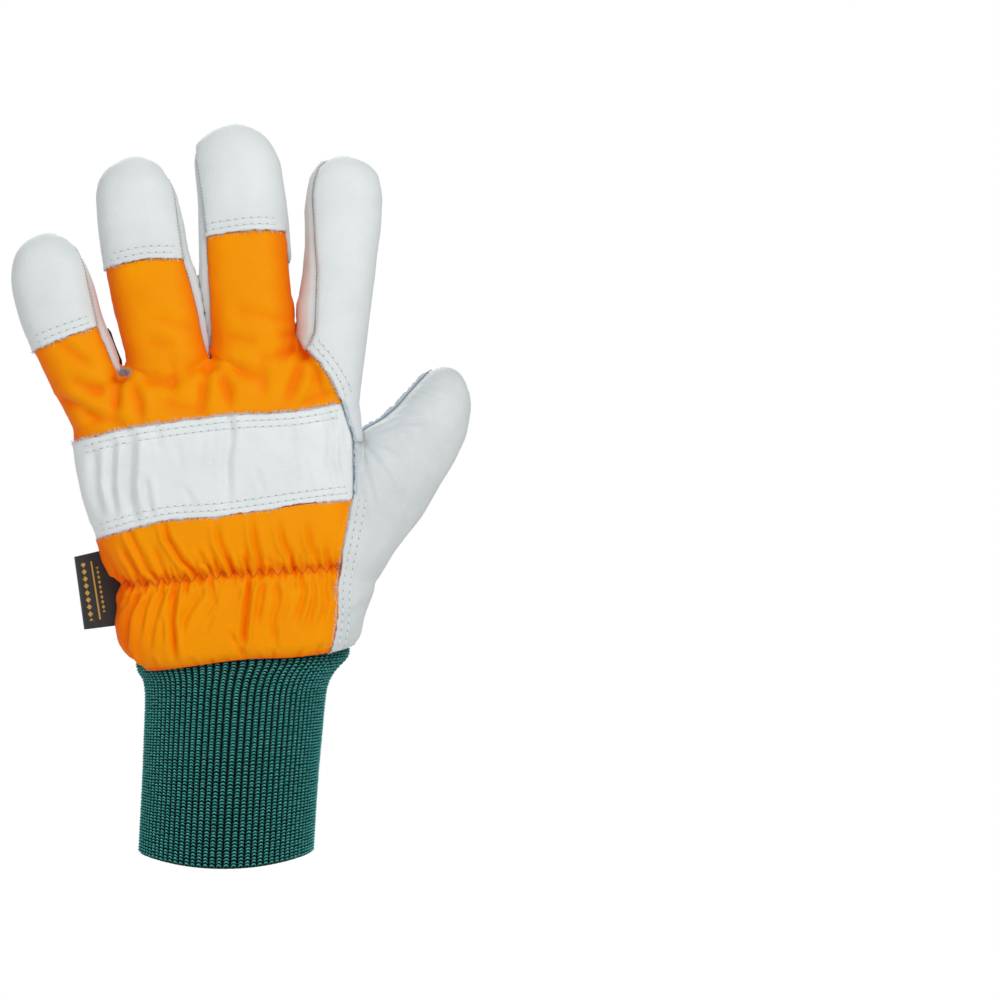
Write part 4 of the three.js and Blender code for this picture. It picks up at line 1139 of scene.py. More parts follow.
# The woven label: black satin with rows of plain gold stripes and lozenges along its length.
def makeWoven():
    material, nodes, links, shader = makeMaterial("wovenLabel")
    tree = material.node_tree
    uv = nodes.new("ShaderNodeUVMap")
    uv.uv_map = "strip"
    split = nodes.new("ShaderNodeSeparateXYZ")
    links.new(uv.outputs[0], split.inputs[0])
    u, v = split.outputs["X"], split.outputs["Y"]

    def times(a, b):
        return mathNode(tree, "MULTIPLY", a, b)

    def awayFrom(middle):
        return mathNode(tree, "ABSOLUTE", mathNode(tree, "SUBTRACT", u, middle))

    # Lozenges: a zigzag distance round the middle of each row
    def lozenges(middle, halfHigh, pitch):
        wave = mathNode(tree, "PINGPONG", times(v, 1 / pitch), 1.0)
        total = mathNode(tree, "ADD", times(awayFrom(middle), 0.5 / halfHigh), times(wave, 0.5))
        return mathNode(tree, "LESS_THAN", total, 0.42)

    def between(low, high):
        return times(mathNode(tree, "GREATER_THAN", v, low), mathNode(tree, "LESS_THAN", v, high))

    stripe = mathNode(tree, "LESS_THAN", awayFrom(7.0), 0.35)
    gold = times(lozenges(3.4, 1.3, 1.6), between(3.5, 29.5))
    gold = mathNode(tree, "MAXIMUM", gold, times(stripe, between(3.5, 29.5)))
    gold = mathNode(tree, "MAXIMUM", gold, times(lozenges(9.2, 0.8, 1.1), between(6.5, 26.5)))
    threads = mathNode(tree, "SINE", times(v, 2 * math.pi / 0.45))
    threadShade = rangeNode(tree, threads, -1, 1, 0.55, 1)
    goldColour = blendColours(tree, threadShade, (0.30, 0.15, 0.01), (0.72, 0.42, 0.06))
    links.new(blendColours(tree, gold, (0.014, 0.011, 0.010), goldColour), shader.inputs["Base Color"])
    shader.inputs["Roughness"].default_value = 0.45
    shader.inputs["Sheen Weight"].default_value = 0.3
    addBump(material, shader, mathNode(tree, "ADD", threads, times(gold, 1.5)), 0.06 * mm)
    return material


whiteLeather = makeLeather("whiteLeather", (0.76, 0.795, 0.795), (0.70, 0.735, 0.74), 0.10 * mm)
# Painted shade: a darker copy of the white leather, for the shade on the thumb's back
thumbLeatherShaded = makeLeather("thumbLeatherShaded", (0.68, 0.715, 0.715), (0.60, 0.635, 0.64), 0.10 * mm)
bandLeather = makeLeather("bandLeather", (0.80, 0.83, 0.83), (0.73, 0.765, 0.77), 0.16 * mm)
sideLeather = makeLeather("sideLeather", (0.76, 0.745, 0.73), (0.68, 0.65, 0.63), 0.10 * mm)
orangeNylon = makeNylon()
greenKnit = makeKnit()
rawEdge = makePlain("rawEdge", (0.62, 0.70, 0.76), (0.42, 0.50, 0.58), 1.2 * mm, 0.9, 0.2 * mm)
whiteThread = makePlain("whiteThread", (0.86, 0.87, 0.87), (0.74, 0.77, 0.78), 0.5 * mm, 0.6, 0.08 * mm)
needleShade = makePlain("needleShade", (0.42, 0.48, 0.54), (0.30, 0.36, 0.42), 0.5 * mm, 0.7, 0.08 * mm)
# Dark thread, also used as painted shade in seam grooves and needle holes
darkThreadAndShade = makePlain("darkThreadAndShade", (0.30, 0.34, 0.37), (0.17, 0.20, 0.23), 0.5 * mm, 0.7, 0.08 * mm)
orangeThread = makePlain("orangeThread", (0.62, 0.13, 0.001), (0.42, 0.07, 0.001), 0.5 * mm, 0.6, 0.08 * mm)
whiteFibre = makePlain("whiteFibre", (0.82, 0.82, 0.82), (0.70, 0.70, 0.72), 0.6 * mm, 0.85, 0.05 * mm)
greyFibre = makePlain("greyFibre", (0.52, 0.42, 0.42), (0.30, 0.24, 0.25), 0.6 * mm, 0.9, 0.05 * mm)
# Near-black leather, painted shade deep between the fingers
shadedLeather = makePlain("shadedLeather", (0.055, 0.035, 0.03), (0.03, 0.018, 0.015), 2 * mm, 0.8, 0.1 * mm)
wovenLabel = makeWoven()

panelLooks = {name: (whiteLeather, "leather") for name in panelFields}
panelLooks.update({
    "pinky_side": (sideLeather, "leather"), "index_side": (sideLeather, "leather"),
    "knuckle_band": (bandLeather, "leather"), "thumb_back": (thumbLeatherShaded, "leather"),
    "back_upper": (orangeNylon, "nylon"), "back_lower": (orangeNylon, "nylon"),
})


def finishPiece(piece, material, slot, *nodes):
    piece.data.materials.clear()
    piece.data.materials.append(material)
    piece.data.polygons.foreach_set("use_smooth", [True] * len(piece.data.polygons))
    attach(piece, "root")
    if nodes:
        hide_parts(*nodes)
    return piece


def addAttribute(mesh, name, values):
    layer = mesh.attributes.new(name, "FLOAT", "POINT")
    layer.data.foreach_set("value", np.asarray(values, np.float32))


print("cutting the panels")
surfaces = {}
for name, field in panelFields.items():
    points, normals, faces = cutPanel(field)
    if name == "back_lower":
        points, normals, faces = refine(points, normals, faces)
    normals /= np.linalg.norm(normals, axis=1)[:, None]
    height, turned, paintedShade = panelRelief(name, points, normals, faces)
    points = points + normals * height[:, None]
    piece = newObject(name + "_skin", points, faces)
    addAttribute(piece.data, "seamDistance", turned)
    addAttribute(piece.data, "paintedShade", paintedShade)
    surfaces[name] = BVHTree.FromPolygons([Vector(p) for p in points], faces)
    applyModifier(piece, "SOLIDIFY", thickness=leather["thick"], offset=-1)
    material, slot = panelLooks[name]
    finishPiece(piece, material, slot, name)
    print("  ", name, len(piece.data.polygons))

print("sewing the stitches")
surfaceOrder = (
    "pinky_cap", "ring_cap", "middle_cap", "knuckle_band", "palm", "thumb_back", "back_upper", "back_lower",
    "index_side", "pinky_side", "ring_front", "middle_front",
)


# Where a ray from the back of the hand, or from the palm, first meets the glove.
def onSurface(x, z, names=surfaceOrder, fromBack=True):
    start = Vector((x, -0.2 if fromBack else 0.2, z))
    way = Vector((0, 1 if fromBack else -1, 0))
    hits = [surfaces[n].ray_cast(start, way) for n in names]
    hits = [h for h in hits if h[0] is not None and h[1].dot(way) < 0]
    if not hits:
        return None
    hit = min(hits, key=lambda h: h[3])
    return np.array(hit[0]), np.array(hit[1])


class MeshPile:
    def __init__(self):
        self.points, self.faces, self.values = [], [], []

    def add(self, points, faces, value=1.0):
        start = len(self.points)
        self.points.extend(points)
        self.faces.extend(tuple(i + start for i in f) for f in faces)
        self.values.extend([value] * len(points) if np.isscalar(value) else value)


# Quads between neighbouring rows of points: each row may close round itself, and the last row meet the first.
def quads(rows, count, closed=True, joined=False, turned=False):
    faces = []
    for r in range(rows if joined else rows - 1):
        low, high = r * count, (r + 1) % rows * count
        for k in range(count if closed else count - 1):
            n = (k + 1) % count
            face = (low + k, low + n, high + n, high + k)
            faces.append((face[0], *face[:0:-1]) if turned else face)
    return faces


def endFaces(rows, count):
    return [tuple(range(count)), tuple((rows - 1) * count + k for k in range(count))[::-1]]


# A tube through points with a radius at each, closed at both ends.
def tube(centres, radii, sides, up):
    centres = np.array(centres)
    ways = np.gradient(centres, axis=0)
    points = []
    for centre, way, radius in zip(centres, ways, radii):
        way = unit(way)
        side = unit(np.cross(way, up))
        top = np.cross(side, way)
        for k in range(sides):
            turn = 2 * math.pi * k / sides
            points.append(centre + radius * (math.cos(turn) * side + math.sin(turn) * top))
    return points, quads(len(centres), sides, turned=True) + endFaces(len(centres), sides)


def taperedEnds(count):
    fromStart = np.arange(count)
    return np.minimum(1, 0.4 + 0.3 * np.minimum(fromStart, fromStart[::-1]))


# A row of stitches on the surface, and the needle holes between them as dark discs of painted shade.
def sewRow(pile, holes, line, names=surfaceOrder, fromBack=True, pitch=stitch["pitch"]):
    scale = pitch / stitch["pitch"]
    ends = resampled(line, pitch)
    for a, b in zip(ends[:-1], ends[1:]):
        middle, way = (a + b) / 2, (b - a) / np.linalg.norm(b - a)
        half = stitch["long"] / 2 * scale
        found = [onSurface(*(middle + way * half * s), names, fromBack) for s in (-1, -0.6, 0, 0.6, 1)]
        if any(f is None for f in found):
            continue
        places = np.array([f[0] for f in found])
        if np.ptp(places[:, 1]) > 2.5 * mm:
            continue
        up = unit(sum(f[1] for f in found))
        along = unit(places[-1] - places[0])
        rise = np.array([-0.06, 0.1, 0.14, 0.1, -0.06]) * mm
        radii = np.array([0.6, 1, 1.05, 1, 0.6]) * stitch["thick"]
        pile.add(*tube(places + up * rise[:, None], radii, 6, up))
        for end, outward in ((places[0], -1), (places[-1], 1)):
            hole = end + along * outward * stitch["hole"] * 0.9
            holes.add(*tube([hole - up * 0.3 * mm, hole + up * 0.05 * mm], [stitch["hole"]] * 2, 7, along))


whiteRows, needleHoles, darkSeams = MeshPile(), MeshPile(), MeshPile()
for name in rawEdges:
    for row in rowsOf(name):
        sewRow(whiteRows, needleHoles, row, (name,))

# Turned seams show as a fine dark line, the one beside the knuckle band as a broad one: dark thread and the
# painted shade of the seam's groove
turnedSeams = [
    pinkySeamUpper[1:] + pinkySeamLower[1:], ringSeamUpper[1:] + ringSeamLower[1:],
    middleSeamUpper[1:] + middleSeamLower[1:], indexSeam[1:],
]
seamDots = {"pitch": 1.5 * mm, "long": 1.05 * mm, "thick": 0.18 * mm}


def dotSeam(pile, line, broad=1.0):
    spots = resampled(smoothLine(line, mm), seamDots["pitch"])
    for spot, way in zip(spots, np.gradient(spots, axis=0)):
        way = unit(way) * seamDots["long"] * broad / 2
        found = [onSurface(*(spot + way * s)) for s in (-1, 0, 1)]
        if any(f is None for f in found) or np.ptp([f[0][1] for f in found]) > 2 * mm:
            continue
        radii = np.array([0.6, 1, 0.6]) * seamDots["thick"] * broad
        pile.add(*tube([f[0] for f in found], radii, 5, found[1][1]))


for line in turnedSeams:
    dotSeam(darkSeams, line)
dotSeam(darkSeams, bandSide, 1.6)
# The bar tack beside the thumb
dotSeam(darkSeams, [np.array([53.6, 179.0]) * mm, np.array([58.4, 179.4]) * mm], 1.5)
for name, pile, material in (
    ("edge_stitches", whiteRows, whiteThread), ("needle_holes", needleHoles, needleShade),
    ("seam_lines", darkSeams, darkThreadAndShade),
):
    finishPiece(newObject(name, pile.points, pile.faces), material, "leather")

# The zigzag over the elastic
zigzag = {"pitch": 5.2 * mm, "high": 1.9 * mm, "thick": 0.16 * mm, "end": 48 * mm}
zigzagRow = MeshPile()
middle = resampled(smoothLine(np.array(elastic) * mm), zigzag["pitch"] / 2)
corners = [p + np.array([0, zigzag["high"] * (1 if i % 2 else -1)]) for i, p in enumerate(middle)]
for a, b in zip(corners[:-1], corners[1:]):
    found = [onSurface(*(a + (b - a) * t), ("back_lower",)) for t in (0.02, 0.2, 0.5, 0.8, 0.98)]
    if any(f is None for f in found) or a[0] > zigzag["end"]:
        continue
    up = unit(sum(f[1] for f in found))
    places = np.array([f[0] for f in found]) + up * np.array([-0.1, 0.1, 0.15, 0.1, -0.1])[:, None] * mm
    zigzagRow.add(*tube(places, [zigzag["thick"]] * 5, 5, up))
finishPiece(newObject("elastic_zigzag", zigzagRow.points, zigzagRow.faces), orangeThread, "nylon")

print("growing the fuzz of the raw edges")
fuzz = {"perMillimetre": 7, "long": (0.7 * mm, 1.9 * mm), "thick": 0.12 * mm, "seed": 4}


def growFuzz():
    dice = random.Random(fuzz["seed"])
    pile = MeshPile()
    for name, edges in rawEdges.items():
        for line, side in edges:
            spots = resampled(line, mm / fuzz["perMillimetre"])
            for spot, run in zip(spots, np.gradient(spots, axis=0)):
                jitter = np.array([dice.uniform(-0.4, 0.4), dice.uniform(-0.4, 0.4)]) * mm
                found = onSurface(*(spot + jitter), (name,))
                found = found or onSurface(*(spot + jitter), ("back_upper", "back_lower"))
                if found is None:
                    continue
                place, up = found
                along = unit(np.array([run[0], 0, run[1]]))
                outward = -side * np.array([-along[2], 0, along[0]])
                way = outward * dice.uniform(0, 1.4) + along * dice.uniform(-1, 1)
                way = unit(way + up * dice.uniform(0.1, 0.5))
                length = dice.uniform(*fuzz["long"])
                curl = np.array([dice.uniform(-1, 1), 0, dice.uniform(-1, 1)]) * length * 0.35
                path = [place - up * 0.1 * mm, place + way * length * 0.5, place + way * length + curl]
                pile.add(*tube(path, [fuzz["thick"], fuzz["thick"] * 0.8, fuzz["thick"] * 0.3], 3, up))
    return finishPiece(newObject("edge_fuzz", pile.points, pile.faces), whiteFibre, "raw_edge")


growFuzz()


# Dark strips of painted shade deep between the fingers, where the turned seams lie: x and height of each path
# in mm, its depth and its thickness
crotchShadeStrips = [
    ([(-51.2, 228), (-48.9, 221), (-46.6, 215.4), (-44.9, 211.5)], 3, 1.1),
    ([(-10.4, 237), (-9.4, 228), (-8.3, 219), (-7.4, 213)], 3, 0.7),
]
# The leather turned in at the thumb's root lies on the palm's leather nearest to a line at this depth
turnedIn = {"deep": 14 * mm, "thick": 1.5 * mm}
turnedIn["path"] = [(57.4, 183.4), (56.2, 181.2), (55.0, 179), (53.9, 176.8), (53.3, 175)]
tuft = {"x": -43.4, "z": 208.5, "fibres": 130, "long": (1.2, 2.6), "thick": 0.14, "seed": 9}


def layCrotchShade():
    pile = MeshPile()
    for path, deep, thick in crotchShadeStrips:
        places = [(x * mm, deep * mm, z * mm) for x, z in smoothLine(np.array(path, float), 1.0)]
        pile.add(*tube(places, taperedEnds(len(places)) * thick * mm, 8, palmward))
    finishPiece(newObject("crotch_shade_strips", pile.points, pile.faces), shadedLeather, "leather")


def turnInThumb():
    path = smoothLine(np.array(turnedIn["path"], float), 1.0) * mm
    places = [surfaces["palm"].find_nearest(Vector((x, turnedIn["deep"], z)))[0] for x, z in path]
    points, faces = tube(places, taperedEnds(len(places)) * turnedIn["thick"], 10, palmward)
    finishPiece(newObject("thumb_turn_in", points, faces), whiteLeather, "leather")


def growTuft():
    dice = random.Random(tuft["seed"])
    pile = MeshPile()
    root = np.array([tuft["x"], onSurface(tuft["x"] * mm, (tuft["z"] - 5) * mm)[0][1] / mm, tuft["z"]])
    for _ in range(tuft["fibres"]):
        start = root + [dice.uniform(-2, 2), dice.uniform(-0.8, 0.8), dice.uniform(-1, 1)]
        way = unit(np.array([dice.uniform(-1, 1), dice.uniform(-1, 0.2), dice.uniform(-0.6, 1)]))
        length = dice.uniform(*tuft["long"])
        bent = np.array([dice.uniform(-1, 1), 0, dice.uniform(-1, 1)]) * length * 0.4
        path = np.array([start, start + way * length * 0.5, start + way * length + bent]) * mm
        pile.add(*tube(path, np.array([1, 0.8, 0.3]) * tuft["thick"] * mm, 4, palmward))
    finishPiece(newObject("crotch_tuft", pile.points, pile.faces), greyFibre, "raw_edge")


layCrotchShade()
turnInThumb()
growTuft()

print("knitting the cuff")
knit = {
    "wales": 84, "courses": 68, "thick": 0.34 * mm, "sink": 1.5 * mm, "rise": 1.2 * mm, "lining": 1.4 * mm,
    "hemArc": 5 * mm, "squareness": 2.1,
}
smoothRows = smoothLine(np.array(cuffRows), 1.0) * mm
rowHeights = (smoothRows[:, 1] + smoothRows[:, 3]) / 2
evenHeights = np.linspace(rowHeights[0], rowHeights[-1], 120)
cuffLine = np.stack([np.interp(evenHeights, rowHeights, column) for column in smoothRows.T], axis=1)


def cuffRowAt(at):
    return [np.interp(at, range(len(cuffLine)), column) for column in cuffLine.T]


# A row of places round the cuff: its level from 0 at the hem to 1 inside the hand, and the turns round it.
def cuffPoint(level, turns, grow=0.0):
    left, leftUp, right, rightUp, halfDepth = cuffRowAt(level * (len(cuffLine) - 1))
    x, y = roundAt(turns, knit["squareness"])
    arc = knit["hemArc"] * (1 - min(1.0, level * 2)) * (x**2 - 1)
    return np.stack([
        (left + right) / 2 + ((right - left) / 2 + grow) * x,
        (halfDepth + grow) * y,
        (leftUp + rightUp) / 2 + (rightUp - leftUp) / 2 * x + arc,
    ], axis=1)


# The ground between the ribs, closed by a smooth lining, both painted dark as shade.
def makeCuffBase():
    sides, levels = knit["wales"] * 4, 44
    turns = np.linspace(0, 2 * math.pi, sides, endpoint=False)
    ribs = 0.5 + 0.5 * np.cos(turns * knit["wales"])
    loops = []
    for level in np.linspace(0, 1, levels):
        inner, outer = cuffPoint(level, turns, -knit["sink"]), cuffPoint(level, turns)
        loops.append(inner + (outer - inner) * (0.5 * ribs)[:, None])
    inside = -cuff["wall"] - knit["lining"]
    loops += [cuffPoint(level, turns, inside) for level in np.linspace(1, 0, levels)]
    piece = newObject("cuff_base", np.concatenate(loops), quads(len(loops), sides, joined=True))
    cuffBaseShade = np.concatenate([np.tile(0.03 * ribs, levels), np.full(levels * sides, 0.3)])
    addAttribute(piece.data, "loopShade", cuffBaseShade)
    return finishPiece(piece, greenKnit, "knit", "cuff")


# Arched loops in upright wales. Columns of an arch: shares of a wale sideways and of a course up, its rise,
# its shade and its thickness.
arch = [
    (-0.36, -0.75, 0.0, 0.0, 0.7), (-0.3, -0.15, 0.6, 0.25, 0.95), (-0.16, 0.2, 0.92, 0.8, 1),
    (0.0, 0.34, 1.0, 1.0, 1.05), (0.16, 0.2, 0.92, 0.8, 1), (0.3, -0.15, 0.6, 0.25, 0.95),
    (0.36, -0.75, 0.0, 0.0, 0.7),
]
archShades, archRadii = np.array(arch)[:, 3], np.array(arch)[:, 4] * knit["thick"]
archSides = 4


def makeCuffLoops(name, first, last):
    pile = MeshPile()
    dice = random.Random(7 + first)
    course = 1 / knit["courses"]
    for wale in range(first, last):
        for row in range(knit["courses"]):
            centre = (row + 0.8 + dice.uniform(-0.1, 0.1)) * course
            places = []
            for side, up, rise, *_ in arch:
                turn = 2 * math.pi * (wale + side + dice.uniform(-0.03, 0.03)) / knit["wales"]
                level = min(1.0, max(0.0, centre + up * course))
                places.append(cuffPoint(level, np.array([turn]), (rise - 1) * knit["rise"])[0])
            turn = 2 * math.pi * wale / knit["wales"]
            up = unit(np.array([math.cos(turn) / cuff["width"], math.sin(turn) / cuff["depth"], 0]))
            points, faces = tube(places, archRadii, archSides, up)
            # Painted shade: the underside of each arch is darker, as in the shade of the next one
            above = (np.array(points)[:, 2] - np.repeat([p[2] for p in places], archSides)) / knit["thick"]
            shades = np.repeat(archShades, archSides) * np.clip(0.85 + 0.7 * above, 0.05, 1)
            pile.add(points, faces, list(shades))
    piece = newObject(name, pile.points, pile.faces)
    addAttribute(piece.data, "loopShade", pile.values)
    return finishPiece(piece, greenKnit, "knit")


makeCuffBase()
makeCuffLoops("cuff_loops_palm", 0, knit["wales"] // 2)
makeCuffLoops("cuff_loops_back", knit["wales"] // 2, knit["wales"])

print("laying the welts, the label and the patch")
welt = {"halfWide": 1.0 * mm, "halfHigh": 0.75 * mm, "lift": 0.5 * mm, "seed": 21}


# A raw strip of hide along places on the surface, with an uneven edge and its fuzz.
def layWelt(name, node, places, ups, wide=1.0):
    dice = random.Random(welt["seed"])
    places, ups = np.array(places), np.array(ups)
    ways = np.gradient(places, axis=0)
    points, sides = [], 10
    for i, (place, up, way) in enumerate(zip(places, ups, ways)):
        way = unit(way)
        side = unit(np.cross(way, up))
        ends = min(1.0, 0.25 + 0.4 * min(i, len(places) - 1 - i))
        halfWide = welt["halfWide"] * wide * ends * (1 + 0.3 * dice.uniform(-1, 1))
        halfHigh = welt["halfHigh"] * ends * (1 + 0.3 * dice.uniform(-1, 1))
        centre = place + up * (welt["lift"] + 0.15 * mm * dice.uniform(-1, 1))
        centre = centre + side * 0.2 * mm * dice.uniform(-1, 1)
        for k in range(sides):
            turn = 2 * math.pi * k / sides
            points.append(centre + halfWide * math.cos(turn) * side + halfHigh * math.sin(turn) * up)
    rings = len(places)
    pile = MeshPile()
    pile.add(points, quads(rings, sides, turned=True) + endFaces(rings, sides))
    for place, up in zip(places, ups):
        for _ in range(2):
            way = unit(up * dice.uniform(0.2, 1) + np.array([dice.uniform(-1, 1) for _ in range(3)]))
            length = dice.uniform(0.7, 1.6) * mm
            start = place + up * welt["lift"]
            fibre = [start, start + way * length * 0.6, start + way * length]
            pile.add(*tube(fibre, [0.06 * mm, 0.05 * mm, 0.02 * mm], 3, up + 0.01))
    return finishPiece(newObject(name, pile.points, pile.faces), rawEdge, "raw_edge", node)


def weltOnSurface(name, node, line, names, fromBack, wide=1.0):
    found = [onSurface(*spot, names, fromBack) for spot in resampled(smoothLine(line, 1 * mm), 0.9 * mm)]
    found = [f for f in found if f is not None]
    layWelt(name, node, [f[0] for f in found], [f[1] for f in found], wide)


sideWelt = shifted(smoothLine(bandSide), 1.1 * mm)
weltOnSurface("finger_welt_strip", "finger_welt", weltLine, ("palm", "ring_front", "middle_front"), False)
weltOnSurface("side_welt_strip", "side_welt", sideWelt, ("palm", "thumb_back"), True, 0.75)


# The left seam of a digit at a share of its length: its place and the way out of the surface there.
def seamPlace(name, along, forward):
    middle, side, front, halfWidth, halfDepth = digitSection(name, along)
    share = min(1.0, abs(forward / halfDepth))
    out = (1 - share**digitSquareness) ** (1 / digitSquareness) * halfWidth
    return middle - out * side + forward * front, -side


thumbSeam = [seamPlace("thumb", along, -1.5 * mm) for along in np.arange(0.5, 0.95, 0.009)]
thumbUps = [unit(u - palmward * 1.5) for _, u in thumbSeam]
layWelt("thumb_welt_strip", "thumb_welt", [p for p, _ in thumbSeam], thumbUps, 1.8)
thumbStitches = [seamPlace("thumb", along, -4 * mm) for along in np.arange(0.56, 0.95, 0.009)]
threadPath = [p + u * 0.5 * mm for p, u in thumbStitches]
seamPoints, seamFaces = tube(threadPath, [0.22 * mm] * len(threadPath), 6, palmward)
finishPiece(newObject("thumb_seam_line", seamPoints, seamFaces), darkThreadAndShade, "leather")

label = {"reach": 14.5, "high": 33, "wall": 0.45, "seat": (-0.393, 0.262), "turn": -10, "root": 9}


def makeLabel():
    # The strip's path seen from above: in from the seam, round the fold, and back into the seam
    path = smoothLine(np.array([
        (label["root"], -0.5), (4, -0.55), (0, -0.7), (-5, -1.1), (-10, -1.7), (-13, -1.6), (-14.3, -0.9),
        (-label["reach"], 0), (-14.3, 0.9), (-13, 1.5), (-10, 1.4), (-5, 0.9), (0, 0.6), (4, 0.55),
        (label["root"], 0.5),
    ]), 0.5)
    rows = 34
    seat = onHand(*label["seat"])
    turn = math.radians(label["turn"])
    points, strip = [], []
    for r in range(rows + 1):
        v = r / rows
        bow = 1.0 + 0.35 * math.sin(math.pi * v)
        sway = 0.8 * math.sin(2.4 * v + 0.4)
        for x, y in path:
            out = max(0.0, -x) / label["reach"]
            height = (v - 0.5) * label["high"] + 0.8 * out * math.cos(math.pi * v)
            px, pz = x + out * 1.2 * (v - 0.5), height
            points.append((
                seat[0] + (px * math.cos(turn) + pz * math.sin(turn)) * mm,
                seam["forward"] + (y * bow + sway * out) * mm,
                seat[1] + (-px * math.sin(turn) + pz * math.cos(turn)) * mm,
            ))
            strip.append((label["reach"] + x, v * label["high"]))
    piece = newObject("side_label_loop", points, quads(rows + 1, len(path), closed=False))
    layer = piece.data.uv_layers.new(name="strip")
    for loop in piece.data.loops:
        layer.data[loop.index].uv = strip[loop.vertex_index]
    applyModifier(piece, "SOLIDIFY", thickness=label["wall"] * mm, offset=0)
    finishPiece(piece, wovenLabel, "woven_label", "side_label")


makeLabel()

# The patch lies over the ribs on the palm side of the cuff: its edges are x and height in millimetres.
patch = {
    "left": [(-11.6, 88.5), (-11.8, 75), (-11.6, 39), (-12.4, 10), (-12.9, 1)],
    "right": [(22.4, 88.5), (18.9, 72), (16.8, 62), (16.8, 19.4), (15.8, 6.5), (16.6, 1)],
    "low": 1.0, "top": 88.5, "proud": 0.9, "thick": 1.1, "seam": 2.4,
}


def makePatch():
    left, right = np.array(patch["left"])[::-1], np.array(patch["right"])[::-1]
    across, rows, squareness = 44, 110, knit["squareness"]
    points = []
    for r in range(rows + 1):
        z = patch["low"] + (patch["top"] - patch["low"]) * r / rows
        xl, xr = np.interp(z, left[:, 1], left[:, 0]), np.interp(z, right[:, 1], right[:, 0])
        at = np.interp(z * mm, (cuffLine[:, 1] + cuffLine[:, 3]) / 2, range(len(cuffLine)))
        leftX, _, rightX, _, halfDepth = cuffRowAt(at)
        cx, halfWidth = (leftX + rightX) / 2, (rightX - leftX) / 2
        for j in range(across + 1):
            x = (xl + (xr - xl) * j / across) * mm
            share = np.clip((x - cx) / (halfWidth + patch["proud"] * mm), -1, 1)
            y = (halfDepth + patch["proud"] * mm) * (1 - abs(share) ** squareness) ** (1 / squareness)
            points.append((x, y, z * mm))
    points = np.array(points)
    column = np.tile(np.arange(across + 1), rows + 1)
    wander = ragged["fine"] * noiseAt(points, 1.2 * mm, 6) + ragged["wide"] * noiseAt(points, 6 * mm, 7)
    points[:, 0] += wander * (np.minimum(column, across - column) < 2) * np.sign(column - across / 2)
    grain = np.stack([points[:, 0] * 0.35, points[:, 1] * 0.35, points[:, 2]], axis=1)
    points[:, 1] += 0.35 * mm * layeredNoise(grain, 4 * mm, 3) + 0.3 * mm * layeredNoise(points, 18 * mm, 1)
    for line, inward, dent in (
        (left, patch["seam"], 0.3), (right, -patch["seam"], 0.3), (left, 0, 0.35), (right, 0, 0.35),
    ):
        row = np.interp(points[:, 2] / mm, line[:, 1], line[:, 0]) + inward
        points[:, 1] -= dent * mm * bell((points[:, 0] / mm - row) / 0.8)
    faces = quads(rows + 1, across + 1, closed=False, turned=True)
    piece = newObject("pulse_patch_skin", points, faces)
    surfaces["pulse_patch"] = BVHTree.FromPolygons([Vector(p) for p in points], faces)
    addAttribute(piece.data, "seamDistance", np.full(len(points), 0.01))
    applyModifier(piece, "SOLIDIFY", thickness=patch["thick"] * mm, offset=-1)
    finishPiece(piece, bandLeather, "leather", "pulse_patch")
    rows, holes = MeshPile(), MeshPile()
    for line in (left + [patch["seam"], 0], right - [patch["seam"], 0], np.array([(-10.5, 3.2), (14, 3.2)])):
        sewRow(rows, holes, line * mm, ("pulse_patch",), False, 3.0 * mm)
    finishPiece(newObject("patch_stitches", rows.points, rows.faces), whiteThread, "leather")
    # The patch's needle holes: dark discs of painted shade
    finishPiece(newObject("patch_holes", holes.points, holes.faces), darkThreadAndShade, "leather")


makePatch()

print("setting the stage")


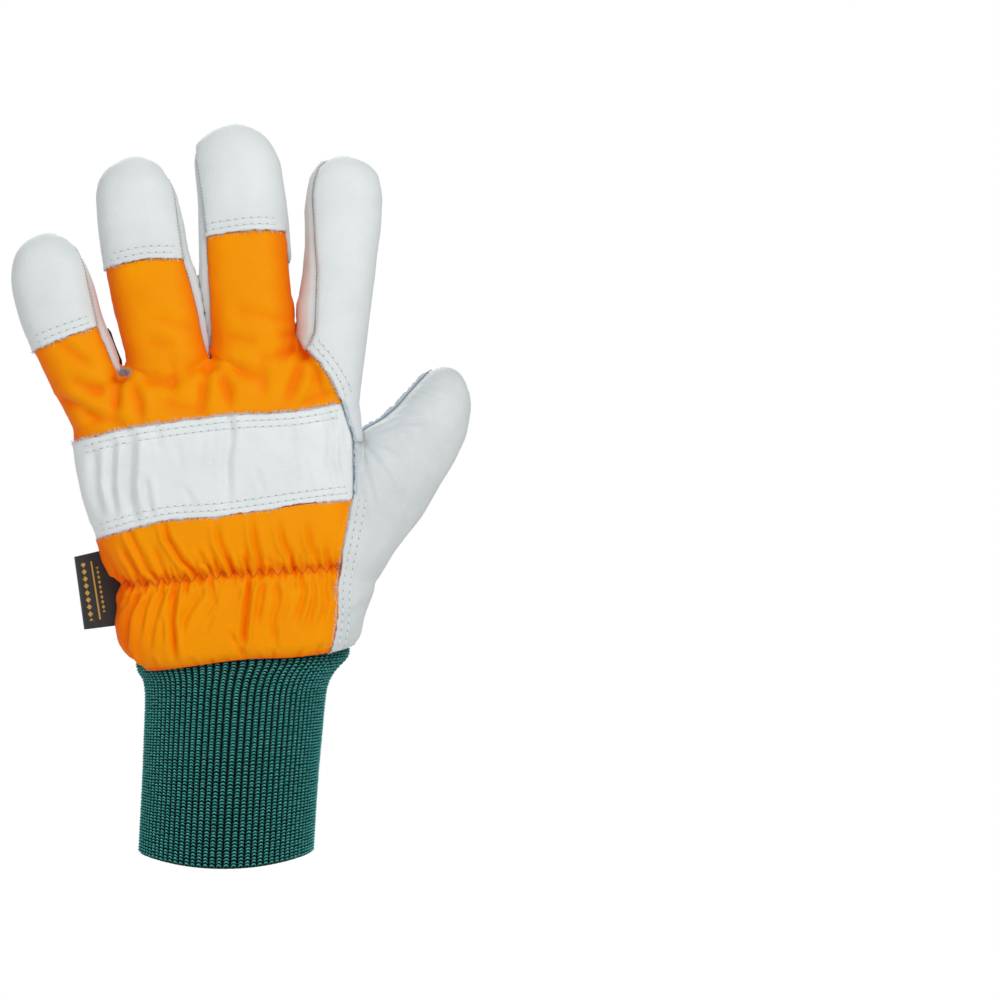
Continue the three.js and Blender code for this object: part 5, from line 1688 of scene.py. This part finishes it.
def makeStage():
    bpy.ops.mesh.primitive_plane_add(size=4.4, location=(0, 0, -0.35))
    floor = bpy.context.active_object
    floor.name = "floor"
    material, nodes, links, shader = makeMaterial("paleFloor", Roughness=0.9)
    place = nodes.new("ShaderNodeTexCoord").outputs["Object"]
    tone = noiseNode(material.node_tree, place, 0.4)
    colour = blendColours(material.node_tree, tone, (0.93, 0.93, 0.93), (0.90, 0.90, 0.90))
    links.new(colour, shader.inputs["Base Color"])
    floor.data.materials.append(material)
    world = bpy.data.worlds.new("studio")
    scene.world = world
    world.use_nodes = True
    tree = world.node_tree
    room, backdrop = tree.nodes["Background"], tree.nodes.new("ShaderNodeBackground")
    room.inputs["Color"].default_value = (0.97, 0.985, 1, 1)
    room.inputs["Strength"].default_value = 0.5
    backdrop.inputs["Color"].default_value = (1, 1, 1, 1)
    backdrop.inputs["Strength"].default_value = 1.0
    seen, blend = tree.nodes.new("ShaderNodeLightPath"), tree.nodes.new("ShaderNodeMixShader")
    tree.links.new(seen.outputs["Is Camera Ray"], blend.inputs[0])
    tree.links.new(room.outputs[0], blend.inputs[1])
    tree.links.new(backdrop.outputs[0], blend.inputs[2])
    tree.links.new(blend.outputs[0], tree.nodes["World Output"].inputs[0])
    lights = [
        ("keyLight", (0.75, -1.5, 1.3), 0.9, 17),
        ("fillLight", (-1.2, -1.4, 0.5), 1.2, 3.5),
        ("backLight", (-0.3, 1.6, 1.2), 1.2, 13),
    ]
    aim = Vector((0.0, 0.0, 0.16))
    for name, place, size, energy in lights:
        light = bpy.data.lights.new(name, "AREA")
        light.size = size
        light.energy = energy
        lamp = bpy.data.objects.new(name, light)
        lamp.location = place
        lamp.rotation_euler = (aim - Vector(place)).to_track_quat("-Z", "Y").to_euler()
        scene.collection.objects.link(lamp)


makeStage()
scene.view_settings.view_transform = "Standard"

# The camera stands straight in front of the glove and is turned aside, so the glove stays left in the frame.
view = {"distance": 1.8, "frame": 0.43, "centreX": 0.006, "centreZ": 0.1544, "shiftedBy": 0.1114}
camera = bpy.data.cameras.new("camera")
camera.lens = camera.sensor_width * view["distance"] / view["frame"]
cameraObject = bpy.data.objects.new("camera", camera)
cameraObject.location = (view["centreX"], -view["distance"], view["centreZ"])
cameraObject.rotation_euler = (math.radians(90), 0, -math.atan(view["shiftedBy"] / view["distance"]))
scene.collection.objects.link(cameraObject)
scene.camera = cameraObject
